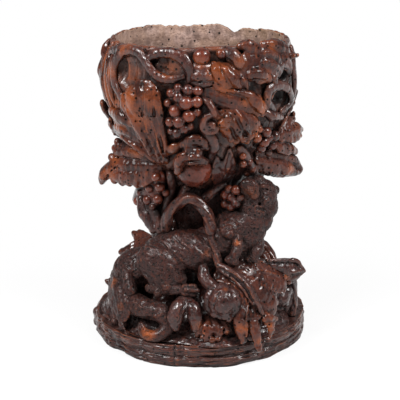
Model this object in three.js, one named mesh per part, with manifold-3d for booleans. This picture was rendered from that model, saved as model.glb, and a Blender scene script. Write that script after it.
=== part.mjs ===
// A carved wooden cup: a hollowed bowl dressed with vine, leaves and grapes, on a vine stump
// where a beast crouches among roots, on a round plinth.
// Millimetres, +Z up. The origin is the centre of the plinth's underside, and the front faces -Y.
// Angles are in degrees round the cup: 0 at the front, 90 at +X, 180 at the back.
import * as THREE from "three";
import { mergeVertices } from "three/addons/utils/BufferGeometryUtils.js";
import Module from "manifold-3d";

const wasm = await Module();
wasm.setup();

// Fit between neighbouring pieces: the glue line, and the thickness below which trimmings go
const glueLine = 0.3;
const sliver = 0.015;

// Plinth
const plinthRadius = 54;
const plinthHeight = 11;
const plinthGroove = 1.6;
const plinthLip = 2.5;

// Mound on the plinth, which leaves a ledge of the plinth bare round it
const plinthLedge = 6;
const moundRadius = plinthRadius - plinthLedge;
const moundHeight = 22;
const moundShoulder = 30;

// The mound radius and the stump height that the points of the ground pieces are drawn for
const drawnMoundRadius = 48;
const drawnStumpHeight = 69;

// Stump that carries the bowl, with a tenon at its foot and a socket at its head
const stumpFootRadius = 27;
const stumpWaistRadius = 19;
const stumpHeadRadius = 23;
const stumpFlutes = 7;
const fluteDepth = 1.4;
const tenonRadius = 9;
const tenonLength = 6;
const socketDepth = 7;

// Bowl
const cupHeight = 150;
const bowlFoot = 80;
const bowlFootRadius = 24;
const bellyRadius = 45;
const bellyShare = 0.69;
const rimRadius = 43;
const wallThickness = 4;
const floorThickness = 13;
const floorRadius = 16;
const spigotRadius = 8;
const spigotLength = 6;
const rimWave = 0.7;
const notchDepth = 2.5;
const notchAngle = 155;

// Carving
const leafThickness = 3;
const leafBed = 2;
const sagRoom = 0.8;
const vineRadius = 2.3;
const grapeRadius = 2.8;
const grapeSpacing = 4.1;
const rowSpacing = 3.6;
const proudGrape = 0.8;

// Facets
const turnedFacets = 36;
const tubeFacets = 6;
const leafFacets = 20;
const leafRows = 4;

const radians = THREE.MathUtils.degToRad;

// Solids from three.js geometry, merged so that each surface is closed
function solidOf(geometry) {
  const bare = new THREE.BufferGeometry();
  bare.setAttribute("position", geometry.getAttribute("position"));
  bare.setIndex(geometry.index);
  const merged = mergeVertices(bare, 1e-3);
  const mesh = new wasm.Mesh({
    numProp: 3,
    vertProperties: merged.attributes.position.array,
    triVerts: new Uint32Array(merged.index.array),
  });
  return new wasm.Manifold(mesh);
}

// Moves each vertex of a geometry to the point that a function gives for it
function reshape(geometry, move) {
  const spots = geometry.getAttribute("position");
  const spot = new THREE.Vector3();
  for (let i = 0; i < spots.count; i++) {
    spot.fromBufferAttribute(spots, i);
    move(spot, i);
    spots.setXYZ(i, spot.x, spot.y, spot.z);
  }
  return geometry;
}

// A turned solid: outline is a list of [radius, height] that starts and ends on the axis
function turned(outline, facets = turnedFacets) {
  const points = outline.map(([radius, height]) => new THREE.Vector2(radius, height));
  return new THREE.LatheGeometry(points, facets).rotateX(Math.PI / 2);
}

// The angle of a point round the cup, in radians from the front
function angleOf(spot) {
  return Math.atan2(spot.x, -spot.y);
}

// A swollen ellipsoid
function blob({ at, size, turn = [0, 0, 0] }, grow) {
  const angles = new THREE.Euler(...turn.map(radians));
  const place = new THREE.Matrix4().compose(
    new THREE.Vector3(...at),
    new THREE.Quaternion().setFromEuler(angles),
    new THREE.Vector3(...size.map((half) => half + grow)),
  );
  return solidOf(new THREE.SphereGeometry(1, 10, 7).applyMatrix4(place));
}

// A round-ended tube along a smooth curve, whose radius follows a list spread over its length
function limb({ path, radii, steps = 3 }, grow, facets = tubeFacets) {
  const curve = new THREE.CatmullRomCurve3(path.map((point) => new THREE.Vector3(...point)));
  const rings = steps * (path.length - 1);
  const frames = curve.computeFrenetFrames(rings);
  const outline = [new THREE.Vector2(0, 0)];
  for (let ring = 0; ring <= rings; ring++) {
    const place = (ring / rings) * (radii.length - 1);
    const low = Math.min(Math.floor(place), radii.length - 2);
    const radius = THREE.MathUtils.lerp(radii[low], radii[low + 1], place - low);
    outline.push(new THREE.Vector2(radius + grow, ring));
  }
  outline.push(new THREE.Vector2(0, rings));
  const tube = new THREE.LatheGeometry(outline, facets);
  reshape(tube, (spot) => {
    const ring = Math.round(spot.y);
    const across = frames.normals[ring].clone().multiplyScalar(spot.z);
    const sideways = frames.binormals[ring].clone().multiplyScalar(spot.x);
    spot.copy(curve.getPointAt(ring / rings)).add(across).add(sideways);
  });
  return solidOf(tube);
}

// Several solids joined to one
function joined(solids) {
  return solids.reduce((whole, next) => whole.add(next));
}

// The bowl's outside radius at a height
function bowlRadius(height) {
  const share = THREE.MathUtils.clamp((height - bowlFoot) / (cupHeight - bowlFoot), 0, 1);
  if (share < bellyShare) {
    const swell = Math.sin((Math.PI / 2) * (share / bellyShare));
    return THREE.MathUtils.lerp(bowlFootRadius, bellyRadius, swell);
  }
  const above = (share - bellyShare) / (1 - bellyShare);
  return THREE.MathUtils.lerp(bellyRadius, rimRadius, above * above);
}

// The height of a level on the bowl, where 0 is its foot and 1 its rim
function bowlHeight(level) {
  return THREE.MathUtils.lerp(bowlFoot, cupHeight, level);
}

// A point on the bowl at an angle and a level, standing off its outside
function onBowl(angle, level, standoff) {
  const height = bowlHeight(level);
  const radius = bowlRadius(height) + standoff;
  const turn = radians(angle);
  return [radius * Math.sin(turn), -radius * Math.cos(turn), height];
}

// Lobes of a leaf: [heading from the midrib in degrees, share of the leaf's length]
const broadLobes = [[0, 1], [-54, 0.86], [54, 0.86], [-108, 0.6], [108, 0.6]];
const narrowLobes = [[0, 1], [-36, 0.66], [36, 0.66], [-90, 0.3], [90, 0.3]];
const fanLobes = [[0, 1], [-54, 0.92], [36, 0.8], [72, 0.4], [-90, 0.5]];
const shelfLobes = [[0, 1], [54, 0.86], [90, 0.5], [-36, 0.5]];
const lobeWidth = 36;
const heelReach = 0.18;

// How far a leaf reaches from its stalk in a direction from its midrib, as a share of its length
function leafReach(direction, lobes) {
  const reach = lobes.map(([heading, length]) => {
    const off = Math.abs(direction - heading) / lobeWidth;
    return length / (1 + off * off);
  });
  return Math.max(...reach, heelReach);
}

// A leaf: a lens whose outline is lobed, laid on a carrier that places it in space.
// across and along are millimetres from the stalk, and out is the height above the carrier.
function leaf({ length, lobes = broadLobes, lift = 0, carrier }, grow) {
  const lens = new THREE.SphereGeometry(1, leafFacets, leafRows);
  reshape(lens, (spot) => {
    const share = Math.min(Math.hypot(spot.x, spot.z), 1);
    const direction = THREE.MathUtils.radToDeg(Math.atan2(-spot.x, spot.z));
    const reach = (length * leafReach(direction, lobes) + 3 * grow) * share;
    const across = reach * Math.sin(radians(direction));
    const along = reach * Math.cos(radians(direction));
    const far = Math.min(reach / length, 1);
    const rise = lift * far * far;
    const half = (leafThickness / 2 + 3 * grow) * Math.sign(spot.y) * Math.sqrt(1 - share ** 4);
    carrier(spot, across, along, rise + half);
  });
  return solidOf(lens);
}

// Lays a leaf on the bowl: its stalk at an angle and a level, its midrib at a heading from upright
function bowlCarrier(angle, level, heading) {
  const height = bowlHeight(level);
  const cosine = Math.cos(radians(heading));
  const sine = Math.sin(radians(heading));
  return (spot, across, along, out) => {
    const up = height + along * cosine - across * sine;
    const radius = bowlRadius(up);
    const round = radians(angle) + (along * sine + across * cosine) / bowlRadius(height);
    const bedded = leafBed * Math.max(0, 1 - Math.hypot(along, across) / leafThickness);
    const reach = radius + out + leafThickness / 2 + sagRoom - bedded;
    spot.set(reach * Math.sin(round), -reach * Math.cos(round), up);
  };
}

// Moves a point that is drawn from the plinth's top out with the mound and up with the stump
function onMound([x, y, up]) {
  const spread = moundRadius / drawnMoundRadius;
  const rise = (bowlFoot - plinthHeight) / drawnStumpHeight;
  return [x * spread, y * spread, plinthHeight + up * rise];
}

// Lays a leaf on a plane: its stalk at a point, its midrib along a direction, its face along another
function planeCarrier(at, midrib, face) {
  const along = new THREE.Vector3(...midrib).normalize();
  const out = new THREE.Vector3(...face).normalize();
  const across = new THREE.Vector3().crossVectors(along, out).normalize();
  out.crossVectors(across, along);
  return (spot, sideways, forward, above) => {
    spot.set(...at);
    spot.addScaledVector(across, sideways);
    spot.addScaledVector(along, forward);
    spot.addScaledVector(out, above);
  };
}

// A bunch: a grape at each point
function bunch(points, radius, grow) {
  const grape = new THREE.OctahedronGeometry(radius + grow, 1);
  return joined(points.map((point) => solidOf(indexed(grape.clone().translate(...point)))));
}

// OctahedronGeometry has no index, so its triangles are numbered in turn
function indexed(geometry) {
  return geometry.setIndex([...Array(geometry.getAttribute("position").count).keys()]);
}

// Rows of grapes: place is called with each grape's step sideways, its row, and whether it is proud
function grapeRows(rows, place) {
  return rows.flatMap((count, row) =>
    Array.from({ length: count }, (_, k) => {
      const sideways = (k - (count - 1) / 2) * grapeSpacing;
      return place(sideways, row, k > 0 && k < count - 1);
    }),
  );
}

// Heights of the rows of a bunch that lies down the bowl, evenly spaced along its slope
function rowHeights(top, count) {
  const heights = [top];
  while (heights.length < count) {
    const last = heights.at(-1);
    const slope = bowlRadius(last) - bowlRadius(last - 1);
    heights.push(last - rowSpacing / Math.hypot(1, slope));
  }
  return heights;
}

// A bunch on the bowl, from a stalk at an angle and a level
function bowlRows(angle, level, rows) {
  const heights = rowHeights(bowlHeight(level), rows.length);
  return grapeRows(rows, (sideways, row, proud) => {
    const radius = bowlRadius(heights[row]) + glueLine + grapeRadius + (proud ? proudGrape : 0);
    const turn = radians(angle) + sideways / radius;
    return [radius * Math.sin(turn), -radius * Math.cos(turn), heights[row]];
  });
}

// A bunch that hangs beside the stump's head at an angle, standing off it
function stumpRows(angle, standoff, rows) {
  const turn = radians(angle);
  return grapeRows(rows, (sideways, row, proud) => {
    const out = stumpHeadRadius + standoff + (proud ? proudGrape : 0);
    return [
      sideways * Math.cos(turn) + out * Math.sin(turn),
      sideways * Math.sin(turn) - out * Math.cos(turn),
      bowlFoot - row * rowSpacing,
    ];
  });
}

// A vine that runs over the bowl through [angle, level] points and beds in at both ends
function bowlVine(points, grow) {
  const path = points.map(([angle, level], k) => {
    const bedded = k === 0 || k === points.length - 1;
    return onBowl(angle, level, bedded ? vineRadius / 2 : vineRadius + sagRoom);
  });
  return limb({ path, radii: [vineRadius, vineRadius], steps: 2 }, grow);
}

// A vine that climbs the stump from a start angle, turning by a sweep, both in degrees
function stumpVine(start, sweep, grow) {
  const foot = plinthHeight + moundHeight;
  const path = Array.from({ length: 7 }, (_, k) => {
    const turn = radians(start + (sweep * k) / 6);
    const radius = stumpWaistRadius + vineRadius / 2 + 2 * ((k - 3) / 3) ** 2;
    const height = THREE.MathUtils.lerp(foot, bowlFoot - vineRadius, k / 6);
    return [radius * Math.sin(turn), -radius * Math.cos(turn), height];
  });
  return limb({ path, radii: [vineRadius + 1, vineRadius], steps: 2 }, grow);
}

// The chipped rim: how far it dips at an angle in radians
function rimDip(turn) {
  const wave = rimWave * (Math.sin(3 * turn + 1) + Math.sin(7 * turn)) * 0.5;
  const off = (THREE.MathUtils.radToDeg(turn) - notchAngle) / 5;
  return rimWave - wave + notchDepth * Math.exp(-off * off);
}

// Plinth: a flat disc with a groove round its edge and a mortise for the stump
function plinth() {
  const mid = plinthHeight / 2;
  return solidOf(turned([
    [0, 0],
    [plinthRadius - plinthLip, 0],
    [plinthRadius, mid - plinthGroove],
    [plinthRadius - plinthGroove, mid],
    [plinthRadius, mid + plinthGroove],
    [plinthRadius - plinthLip, plinthHeight],
    [tenonRadius + glueLine, plinthHeight],
    [tenonRadius + glueLine, plinthHeight - tenonLength - glueLine],
    [0, plinthHeight - tenonLength - glueLine],
  ]));
}

function plinthKeepOut(grow) {
  return solidOf(turned([
    [0, 0],
    [plinthRadius + grow, 0],
    [plinthRadius + grow, plinthHeight - plinthLip],
    [plinthRadius - plinthLip, plinthHeight + grow],
    [0, plinthHeight + grow],
  ]));
}

// Stump: a fluted column from the plinth to the bowl
function stumpOutside(grow) {
  const foot = plinthHeight + glueLine;
  const head = bowlFoot - glueLine;
  const waist = (foot + head) / 2;
  return [
    [stumpFootRadius + grow, foot],
    [stumpWaistRadius + grow, waist - 8],
    [stumpWaistRadius + grow, waist + 8],
    [stumpHeadRadius + grow, head],
  ];
}

function fluted(geometry) {
  return reshape(geometry, (spot) => {
    const radius = Math.hypot(spot.x, spot.y);
    const outer = radius > tenonRadius + glueLine + fluteDepth ? fluteDepth : 0;
    const share = 1 - (outer * (0.5 + 0.5 * Math.cos(stumpFlutes * angleOf(spot)))) / (radius || 1);
    spot.set(spot.x * share, spot.y * share, spot.z);
  });
}

function stump() {
  const foot = plinthHeight + glueLine;
  const head = bowlFoot - glueLine;
  return solidOf(fluted(turned([
    [0, plinthHeight - tenonLength],
    [tenonRadius, plinthHeight - tenonLength],
    [tenonRadius, foot],
    ...stumpOutside(0),
    [spigotRadius + glueLine, head],
    [spigotRadius + glueLine, head - socketDepth],
    [0, head - socketDepth],
  ])));
}

function stumpKeepOut(grow) {
  const outside = stumpOutside(grow);
  return solidOf(turned([[0, outside[0][1]], ...outside, [0, outside.at(-1)[1]]]));
}

// Bowl: hollow, with a spigot under its foot and a chipped rim
function bowlOutside(grow, rows = 7) {
  return Array.from({ length: rows + 1 }, (_, row) => {
    const height = THREE.MathUtils.lerp(bowlFoot, cupHeight, row / rows);
    return [bowlRadius(height) + grow, height];
  });
}

function bowl() {
  const floor = bowlFoot + floorThickness;
  const inside = Array.from({ length: 6 }, (_, row) => {
    const share = row / 5;
    const height = THREE.MathUtils.lerp(cupHeight, floor, share);
    const hollow = bowlRadius(height) - wallThickness;
    const closing = THREE.MathUtils.smoothstep(share, 0.6, 1);
    return [THREE.MathUtils.lerp(hollow, Math.min(floorRadius, hollow), closing), height];
  });
  const body = turned([
    [0, bowlFoot - spigotLength],
    [spigotRadius, bowlFoot - spigotLength],
    [spigotRadius, bowlFoot],
    ...bowlOutside(0),
    ...inside,
    [0, floor],
  ]);
  return solidOf(reshape(body, (spot) => {
    const top = spot.z > cupHeight - 1e-3;
    spot.z -= top ? rimDip(angleOf(spot)) : 0;
  }));
}

function bowlKeepOut(grow) {
  return solidOf(turned([[0, bowlFoot], ...bowlOutside(grow), [0, cupHeight]]));
}

// Mound: ground heaped round the stump's foot
function mound(grow) {
  const foot = plinthHeight + glueLine;
  const heap = turned([
    [0, foot],
    [moundRadius + grow, foot],
    [moundRadius - 4 + grow, foot + moundHeight * 0.3],
    [moundShoulder + grow, foot + moundHeight * 0.75],
    [stumpWaistRadius + grow, foot + moundHeight + grow],
    [0, foot + moundHeight + grow],
  ]);
  return solidOf(reshape(heap, (spot) => {
    const turn = angleOf(spot);
    const swell = 1 + 0.04 * Math.sin(3 * turn + 0.6) + 0.025 * Math.sin(8 * turn);
    spot.set(spot.x * swell, spot.y * swell, spot.z);
  }));
}

// Materials, with the photographed colours
function wood(colour, roughness) {
  return new THREE.MeshStandardMaterial({ color: colour, roughness, metalness: 0 });
}

const finishes = {
  bowl: wood(0x6b4330, 0.45),
  leaf: wood(0x6a2f1a, 0.35),
  vine: wood(0x5a2416, 0.35),
  grape: wood(0x6e2414, 0.25),
  beast: wood(0x47261e, 0.45),
  ground: wood(0x3f241c, 0.5),
  plinth: wood(0x4c2a1e, 0.45),
};

// The cup's three assemblies, each a group at the height where it starts
const cup = new THREE.Group();
const stages = {
  base: new THREE.Group(),
  stem: new THREE.Group(),
  bowl: new THREE.Group(),
};
stages.stem.position.z = plinthHeight;
stages.bowl.position.z = bowlFoot;
cup.add(stages.base, stages.stem, stages.bowl);

// The largest body of a solid that trimming may have left with offcuts and slivers
function mainBody(solid) {
  const bodies = solid.simplify(sliver).decompose();
  return bodies.reduce((best, body) => (body.volume() > best.volume() ? body : best));
}

function boxesMeet(one, other) {
  const a = one.boundingBox();
  const b = other.boundingBox();
  return [0, 1, 2].every((axis) => a.min[axis] < b.max[axis] && b.min[axis] < a.max[axis]);
}

function geometryOf(solid) {
  const { vertProperties, triVerts } = solid.getMesh();
  const geometry = new THREE.BufferGeometry();
  geometry.setAttribute("position", new THREE.BufferAttribute(vertProperties, 3));
  geometry.setIndex(new THREE.BufferAttribute(triVerts, 1));
  return geometry;
}

// Each piece is trimmed by the pieces already in place, with the glue line between them.
// make(grow) gives its solid grown all round, and keepOut the space that others stay out of.
const placed = [];

function carve(stage, name, finish, make, keepOut = make) {
  const raw = make(0);
  const neighbours = placed.filter((other) => boxesMeet(raw, other));
  const solid = mainBody(neighbours.reduce((left, other) => left.subtract(other), raw));
  placed.push(keepOut(glueLine));
  const geometry = geometryOf(solid).translate(0, 0, -stages[stage].position.z);
  const mesh = new THREE.Mesh(geometry, finishes[finish]);
  mesh.name = name;
  stages[stage].add(mesh);
}

// A grown leaf bends a little away from the leaf itself, so its keep-out holds both
function carveLeaf(stage, name, shape) {
  const make = (grow) => leaf(shape, grow);
  carve(stage, name, "leaf", make, (grow) => make(grow).add(make(0)));
}

// Turned blocks
carve("base", "plinth", "plinth", plinth, plinthKeepOut);
carve("stem", "stump", "ground", stump, stumpKeepOut);
carve("bowl", "bowl", "bowl", bowl, bowlKeepOut);
carve("stem", "mound", "ground", mound);

// The beast, crouched round the front of the stump with its head to the right.
// Ground pieces are drawn from the plinth's top: blobs at a point, limbs along a path.
const beastPieces = {
  beast_body: {
    blobs: [
      { at: [-10, -29, 40], size: [22, 10, 12], turn: [0, 8, -18] },
      { at: [-31, -19, 31], size: [13, 11, 14], turn: [0, 30, -30] },
      { at: [-40, -13, 18], size: [9, 9, 11] },
      { at: [17, -28, 46], size: [14, 10, 14], turn: [0, -30, 20] },
    ],
  },
  beast_head: {
    blobs: [
      { at: [27, -25, 63], size: [10, 10, 11] },
      { at: [34, -22, 68], size: [6, 6, 6] },
      { at: [33, -23, 58], size: [6, 6, 5] },
    ],
    limbs: [{ path: [[20, -32, 72], [23, -35, 70], [26, -34, 65]], radii: [1.5, 3, 1.5] }],
  },
  beast_thigh: { blobs: [{ at: [-18, -37, 33], size: [11, 6, 10], turn: [0, 25, -12] }] },
  beast_hind_foot: {
    limbs: [{ path: [[-26, -38, 25], [-12, -43, 23], [1, -43, 22]], radii: [3.5, 3.4, 3.2] }],
  },
  beast_near_foreleg: {
    limbs: [{ path: [[17, -36, 49], [17, -41, 42], [14, -43, 36]], radii: [5, 4.5, 4] }],
  },
  beast_far_foreleg: {
    limbs: [{ path: [[27, -27, 49], [28, -31, 41], [29, -33, 35]], radii: [5, 4.2, 3.5] }],
  },
  beast_tail: {
    limbs: [{
      path: [
        [-42, -16, 15], [-38, -27, 15], [-29, -37, 15], [-19, -43, 14],
        [-15, -46, 8], [-20, -48, 3.5], [-26, -47, 4], [-28, -46, 8],
      ],
      radii: [7, 6.5, 5.5, 4.6, 3.6, 3, 2.6, 1.6],
    }],
  },
};

// Roots, stones and fallen growth on the mound
const groundPieces = {
  vine_arch: {
    limbs: [{
      path: [[-17, -25, 47], [-14, -28, 59], [-5, -31, 66], [3, -34, 60], [6, -37, 49]],
      radii: [2.6, 2.4, 2.4, 2.4, 2.6],
    }],
  },
  fallen_branch: {
    limbs: [{
      path: [[6, -38, 36], [20, -34, 34], [34, -29, 31], [50, -22, 28]],
      radii: [3, 3.2, 4, 5.5],
    }],
  },
  leaf_stalk: {
    limbs: [{ path: [[8, -42, 35], [21, -46, 28], [30, -47, 15]], radii: [2.4, 2.3, 2.2] }],
  },
  burl: {
    blobs: [{ at: [11.5, -46, 20], size: [8, 6, 8.5] }],
    limbs: [{ path: [[1, -39, 33], [4, -43, 27], [8, -45, 22]], radii: [4, 4, 4] }],
  },
  root_fork: {
    limbs: [
      { path: [[-6, -41, 20], [-10, -46, 14], [-12, -48, 3]], radii: [3.5, 3.8, 3] },
      { path: [[-6, -41, 20], [-2, -47, 14], [-1, -49, 3]], radii: [3.5, 3.6, 3] },
    ],
  },
  right_stone: { blobs: [{ at: [38, -23, 11], size: [6, 5, 6] }] },
  left_scroll: {
    limbs: [{
      path: [[-44, -22, 1], [-50, -15, 2], [-51, -10, -3], [-49, -16, -7], [-46, -21, -5]],
      radii: [3, 3, 3, 2.5, 2],
    }],
  },
  right_twig: {
    limbs: [{
      path: [[46, -17, 23], [49, -12, 13], [49, -12, 5], [46, -16, -1]],
      radii: [2, 1.9, 1.9, 2.2],
    }],
  },
};

function groundSolid({ blobs = [], limbs = [] }, grow) {
  return joined([
    ...blobs.map((spec) => blob({ ...spec, at: onMound(spec.at) }, grow)),
    ...limbs.map((spec) => limb({ ...spec, path: spec.path.map(onMound) }, grow)),
  ]);
}

for (const [name, spec] of Object.entries(beastPieces)) {
  carve("stem", name, "beast", (grow) => groundSolid(spec, grow));
}
for (const [name, spec] of Object.entries(groundPieces)) {
  carve("stem", name, "ground", (grow) => groundSolid(spec, grow));
}

// Vines that climb the stump: start angle and sweep in degrees
carve("stem", "left_stump_vine", "ground", (grow) => stumpVine(-75, -115, grow));
carve("stem", "right_stump_vine", "ground", (grow) => stumpVine(75, 70, grow));

// Leaves on the mound: stalk, midrib direction, face direction and length
const groundLeaves = {
  front_leaf: { at: [27, -43, 16], midrib: [-0.1, -0.1, -1], face: [0.3, -1, 0.2], length: 17 },
  shelf_leaf: { at: [18, -40, 31], midrib: [1, 0.2, -0.45], face: [0.4, -1, 0.7], length: 25 },
  low_leaf: { at: [4, -43, 11], midrib: [0.2, -0.6, -0.5], face: [0, -0.7, 0.8], length: 13 },
  left_wing_leaf: { at: [-24, 4, 37], midrib: [-1, 0, -0.6], face: [-0.5, 0, 1], length: 20 },
  left_spike_leaf: { at: [-40, 2, 11], midrib: [-1, 0.1, -0.3], face: [-0.3, 0, 1], length: 12 },
  right_wing_leaf: { at: [24, 0, 29], midrib: [1, 0, 0.1], face: [-0.2, -0.3, 1], length: 17 },
  back_left_leaf: { at: [-15, 22, 20], midrib: [-0.5, 0.85, -0.65], face: [-0.3, 0.6, 1], length: 23 },
  back_right_leaf: { at: [15, 22, 20], midrib: [0.5, 0.85, -0.65], face: [0.3, 0.6, 1], length: 23 },
};
for (const [name, { at, midrib, face, length }] of Object.entries(groundLeaves)) {
  carveLeaf("stem", name, { length, carrier: planeCarrier(onMound(at), midrib, face) });
}

// Vines on the bowl through [angle, level] points
const bowlVines = {
  left_loop_vine: [
    [-50, 0.63], [-53, 0.77], [-50, 0.88], [-42, 0.91], [-34, 0.87], [-27, 0.8], [-19, 0.77], [-13, 0.8],
  ],
  rim_left_vine: [[-64, 0.93], [-48, 0.957], [-34, 0.957], [-19, 0.957], [-9, 0.93], [-7, 0.83]],
  ring_vine: [[44, 0.57], [43, 0.67], [49, 0.74], [57, 0.71], [60, 0.61], [54, 0.54]],
  right_edge_vine: [[77, 0.94], [72, 0.8], [72, 0.63], [67, 0.49]],
  fruit_stem: [[3, 0.47], [9, 0.41], [9, 0.33], [6, 0.26]],
  back_vine: [
    [96, 0.86], [118, 0.74], [140, 0.87], [164, 0.76], [186, 0.89], [208, 0.74], [232, 0.87], [256, 0.77],
  ],
};
for (const [name, points] of Object.entries(bowlVines)) {
  carve("bowl", name, "vine", (grow) => bowlVine(points, grow));
}

// Single fruits on the bowl: angle, level, standoff and radius
const bowlFruits = {
  top_fruit: { angle: 1, level: 0.943, standoff: 2, radius: 3.9 },
  small_top_fruit: { angle: 12, level: 0.957, standoff: 1.5, radius: 2.6 },
  large_fruit: { angle: -5, level: 0.17, standoff: 0, radius: 9 },
};
for (const [name, { angle, level, standoff, radius }] of Object.entries(bowlFruits)) {
  const at = onBowl(angle, level, standoff);
  carve("bowl", name, "grape", (grow) => blob({ at, size: [radius, radius, radius] }, grow));
}

// Grape bunches: stalk angle, level on the bowl or standoff from the stump, and grapes in each row
const bunches = {
  centre_grapes: bowlRows(-7, 0.74, [3, 4, 3, 2, 1]),
  right_grapes: bowlRows(45, 0.43, [2, 3, 2, 1]),
  small_right_grapes: bowlRows(38, 0.19, [1, 2, 1]),
  low_left_grapes: stumpRows(-50, 6.5, [2, 3, 4, 3]),
  low_right_grapes: stumpRows(30, 4, [2, 3, 2]),
  side_grapes: bowlRows(126, 0.6, [2, 3, 2]),
  back_grapes: bowlRows(186, 0.74, [3, 4, 3, 2]),
};
for (const [name, points] of Object.entries(bunches)) {
  carve("bowl", name, "grape", (grow) => bunch(points, grapeRadius, grow));
}

// Leaves on the bowl: stalk angle and level, heading from upright, length, and lift at the tip
const bowlLeaves = {
  large_left_leaf: { angle: -36, level: 0.24, heading: -26, length: 37, lift: 2, lobes: fanLobes },
  low_left_leaf: { angle: -44, level: 0.15, heading: -105, length: 27, lift: 15, lobes: shelfLobes },
  centre_leaf: { angle: 15, level: 0.56, heading: 140, length: 17, lift: 3 },
  top_leaf: { angle: 9, level: 0.84, heading: 100, length: 13, lift: 2, lobes: narrowLobes },
  upper_right_leaf: { angle: 46, level: 0.81, heading: -75, length: 15, lift: 2, lobes: narrowLobes },
  rim_right_leaf: { angle: 64, level: 0.83, heading: -60, length: 14, lift: 1, lobes: narrowLobes },
  slant_leaf: { angle: 5, level: 0.71, heading: 100, length: 27, lift: 1, lobes: narrowLobes },
  right_leaf: { angle: 64, level: 0.37, heading: 70, length: 19, lift: 5 },
  low_right_leaf: { angle: 54, level: 0.19, heading: 105, length: 24, lift: 14, lobes: narrowLobes },
  fruit_cap_leaf: { angle: -3, level: 0.39, heading: -160, length: 12, lift: 7 },
  side_right_leaf: { angle: 106, level: 0.23, heading: 12, length: 27, lift: 2 },
  back_right_bowl_leaf: { angle: 150, level: 0.23, heading: 8, length: 32, lift: 2 },
  back_left_bowl_leaf: { angle: -148, level: 0.24, heading: -8, length: 34, lift: 2 },
  side_left_leaf: { angle: -104, level: 0.29, heading: 10, length: 26, lift: 5 },
};
for (const [name, { angle, level, heading, ...shape }] of Object.entries(bowlLeaves)) {
  carveLeaf("bowl", name, { ...shape, carrier: bowlCarrier(angle, level, heading) });
}

export default cup;
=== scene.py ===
import bpy
import numpy as np
import openvdb
from mathutils import Euler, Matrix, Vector


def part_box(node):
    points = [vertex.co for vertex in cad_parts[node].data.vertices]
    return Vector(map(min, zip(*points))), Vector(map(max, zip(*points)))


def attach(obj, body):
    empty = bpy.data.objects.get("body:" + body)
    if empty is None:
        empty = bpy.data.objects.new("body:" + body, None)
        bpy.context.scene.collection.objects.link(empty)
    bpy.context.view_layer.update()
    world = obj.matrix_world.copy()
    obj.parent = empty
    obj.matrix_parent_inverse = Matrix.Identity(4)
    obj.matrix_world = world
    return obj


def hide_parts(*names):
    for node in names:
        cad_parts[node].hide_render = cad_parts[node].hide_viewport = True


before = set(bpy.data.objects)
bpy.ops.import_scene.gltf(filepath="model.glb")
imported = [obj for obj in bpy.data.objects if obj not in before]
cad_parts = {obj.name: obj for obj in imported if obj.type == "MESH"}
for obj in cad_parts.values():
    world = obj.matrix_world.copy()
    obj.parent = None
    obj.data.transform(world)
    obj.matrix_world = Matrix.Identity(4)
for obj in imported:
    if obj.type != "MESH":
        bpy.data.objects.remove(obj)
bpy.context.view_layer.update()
print("frame:", len(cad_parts), "nodes")

# Everything is shaped in millimetres and turned to metres when a mesh is made.
# Angles go round the cup in degrees: 0 at the front, 90 at +X, 180 at the back.
mm = 0.001
cup = {
    "height": 150, "bowlFoot": 80, "footRadius": 24, "bellyRadius": 45, "bellyLevel": 0.69,
    "rimRadius": 43, "wall": 4, "floor": 93, "floorRadius": 16, "leafGap": 2.3,
    "plinthRadius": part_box("plinth")[1].x / mm, "plinthHeight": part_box("plinth")[1].z / mm,
}


# Shape helpers
def smooth(value, low, high):
    share = np.clip((value - low) / (high - low), 0, 1)
    return share * share * (3 - 2 * share)


def unit(vectors):
    return vectors / np.maximum(np.linalg.norm(vectors, axis=-1, keepdims=True), 1e-9)


def spread(values, shares):
    # values spaced evenly from 0 to 1, read at the shares
    return np.interp(shares, np.linspace(0, 1, len(values)), values)


def noise(points, size, seed=0):
    # smooth random lumps of a size, from -1 to 1; the large primes scramble the place of a cell's corner
    spots = np.asarray(points, float) / size + 31.7 * seed
    cell = np.floor(spots).astype(np.int64)
    part = spots - cell
    part = part * part * (3 - 2 * part)
    total = np.zeros(spots.shape[:-1])
    for corner in np.ndindex(2, 2, 2):
        key = (cell + corner) @ np.array([374761393, 668265263, 974634541])
        key = (key ^ (key >> 13)) * 1274126177
        value = ((key ^ (key >> 16)) & 65535) / 32767.5 - 1
        total += value * np.prod(np.where(corner, part, 1 - part), axis=-1)
    return total


def lumpy(points, *layers):
    # layers of noise, each with a depth, a size and a seed
    return sum(depth * noise(points, size, seed) for depth, size, seed in layers)


def curve(path, step=1.2):
    # points of a smooth line through a path, and where each lies along it from 0 to 1
    path = np.asarray(path, float)
    ends = np.vstack([2 * path[0] - path[1], path, 2 * path[-1] - path[-2]])
    spots = []
    shares = []
    for k in range(len(path) - 1):
        a, b, c, d = ends[k:k + 4]
        count = max(2, int(np.ceil(np.linalg.norm((c - b)[:3]) / step)))
        t = np.arange(count)[:, None] / count
        bend = 2 * b + (c - a) * t + (2 * a - 5 * b + 4 * c - d) * t ** 2
        spots.append(0.5 * (bend + (3 * b - a - 3 * c + d) * t ** 3))
        shares.append((k + t[:, 0]) / (len(path) - 1))
    return np.vstack([*spots, path[-1:]]), np.append(np.concatenate(shares), 1)


def bowlRadius(height):
    share = np.clip((height - cup["bowlFoot"]) / (cup["height"] - cup["bowlFoot"]), 0, 1)
    swell = np.sin(np.pi / 2 * np.minimum(share / cup["bellyLevel"], 1))
    below = cup["footRadius"] + (cup["bellyRadius"] - cup["footRadius"]) * swell
    above = np.maximum(share - cup["bellyLevel"], 0) / (1 - cup["bellyLevel"])
    return below + (cup["rimRadius"] - cup["bellyRadius"]) * above ** 2


def wholeTurn(count):
    # angles all the way round the cup
    return np.linspace(-180, 180, count, endpoint=False)[None]


def ringPoint(angle, radius, height):
    turn = np.radians(angle)
    return np.stack(np.broadcast_arrays(radius * np.sin(turn), -radius * np.cos(turn), height), -1)


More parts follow.
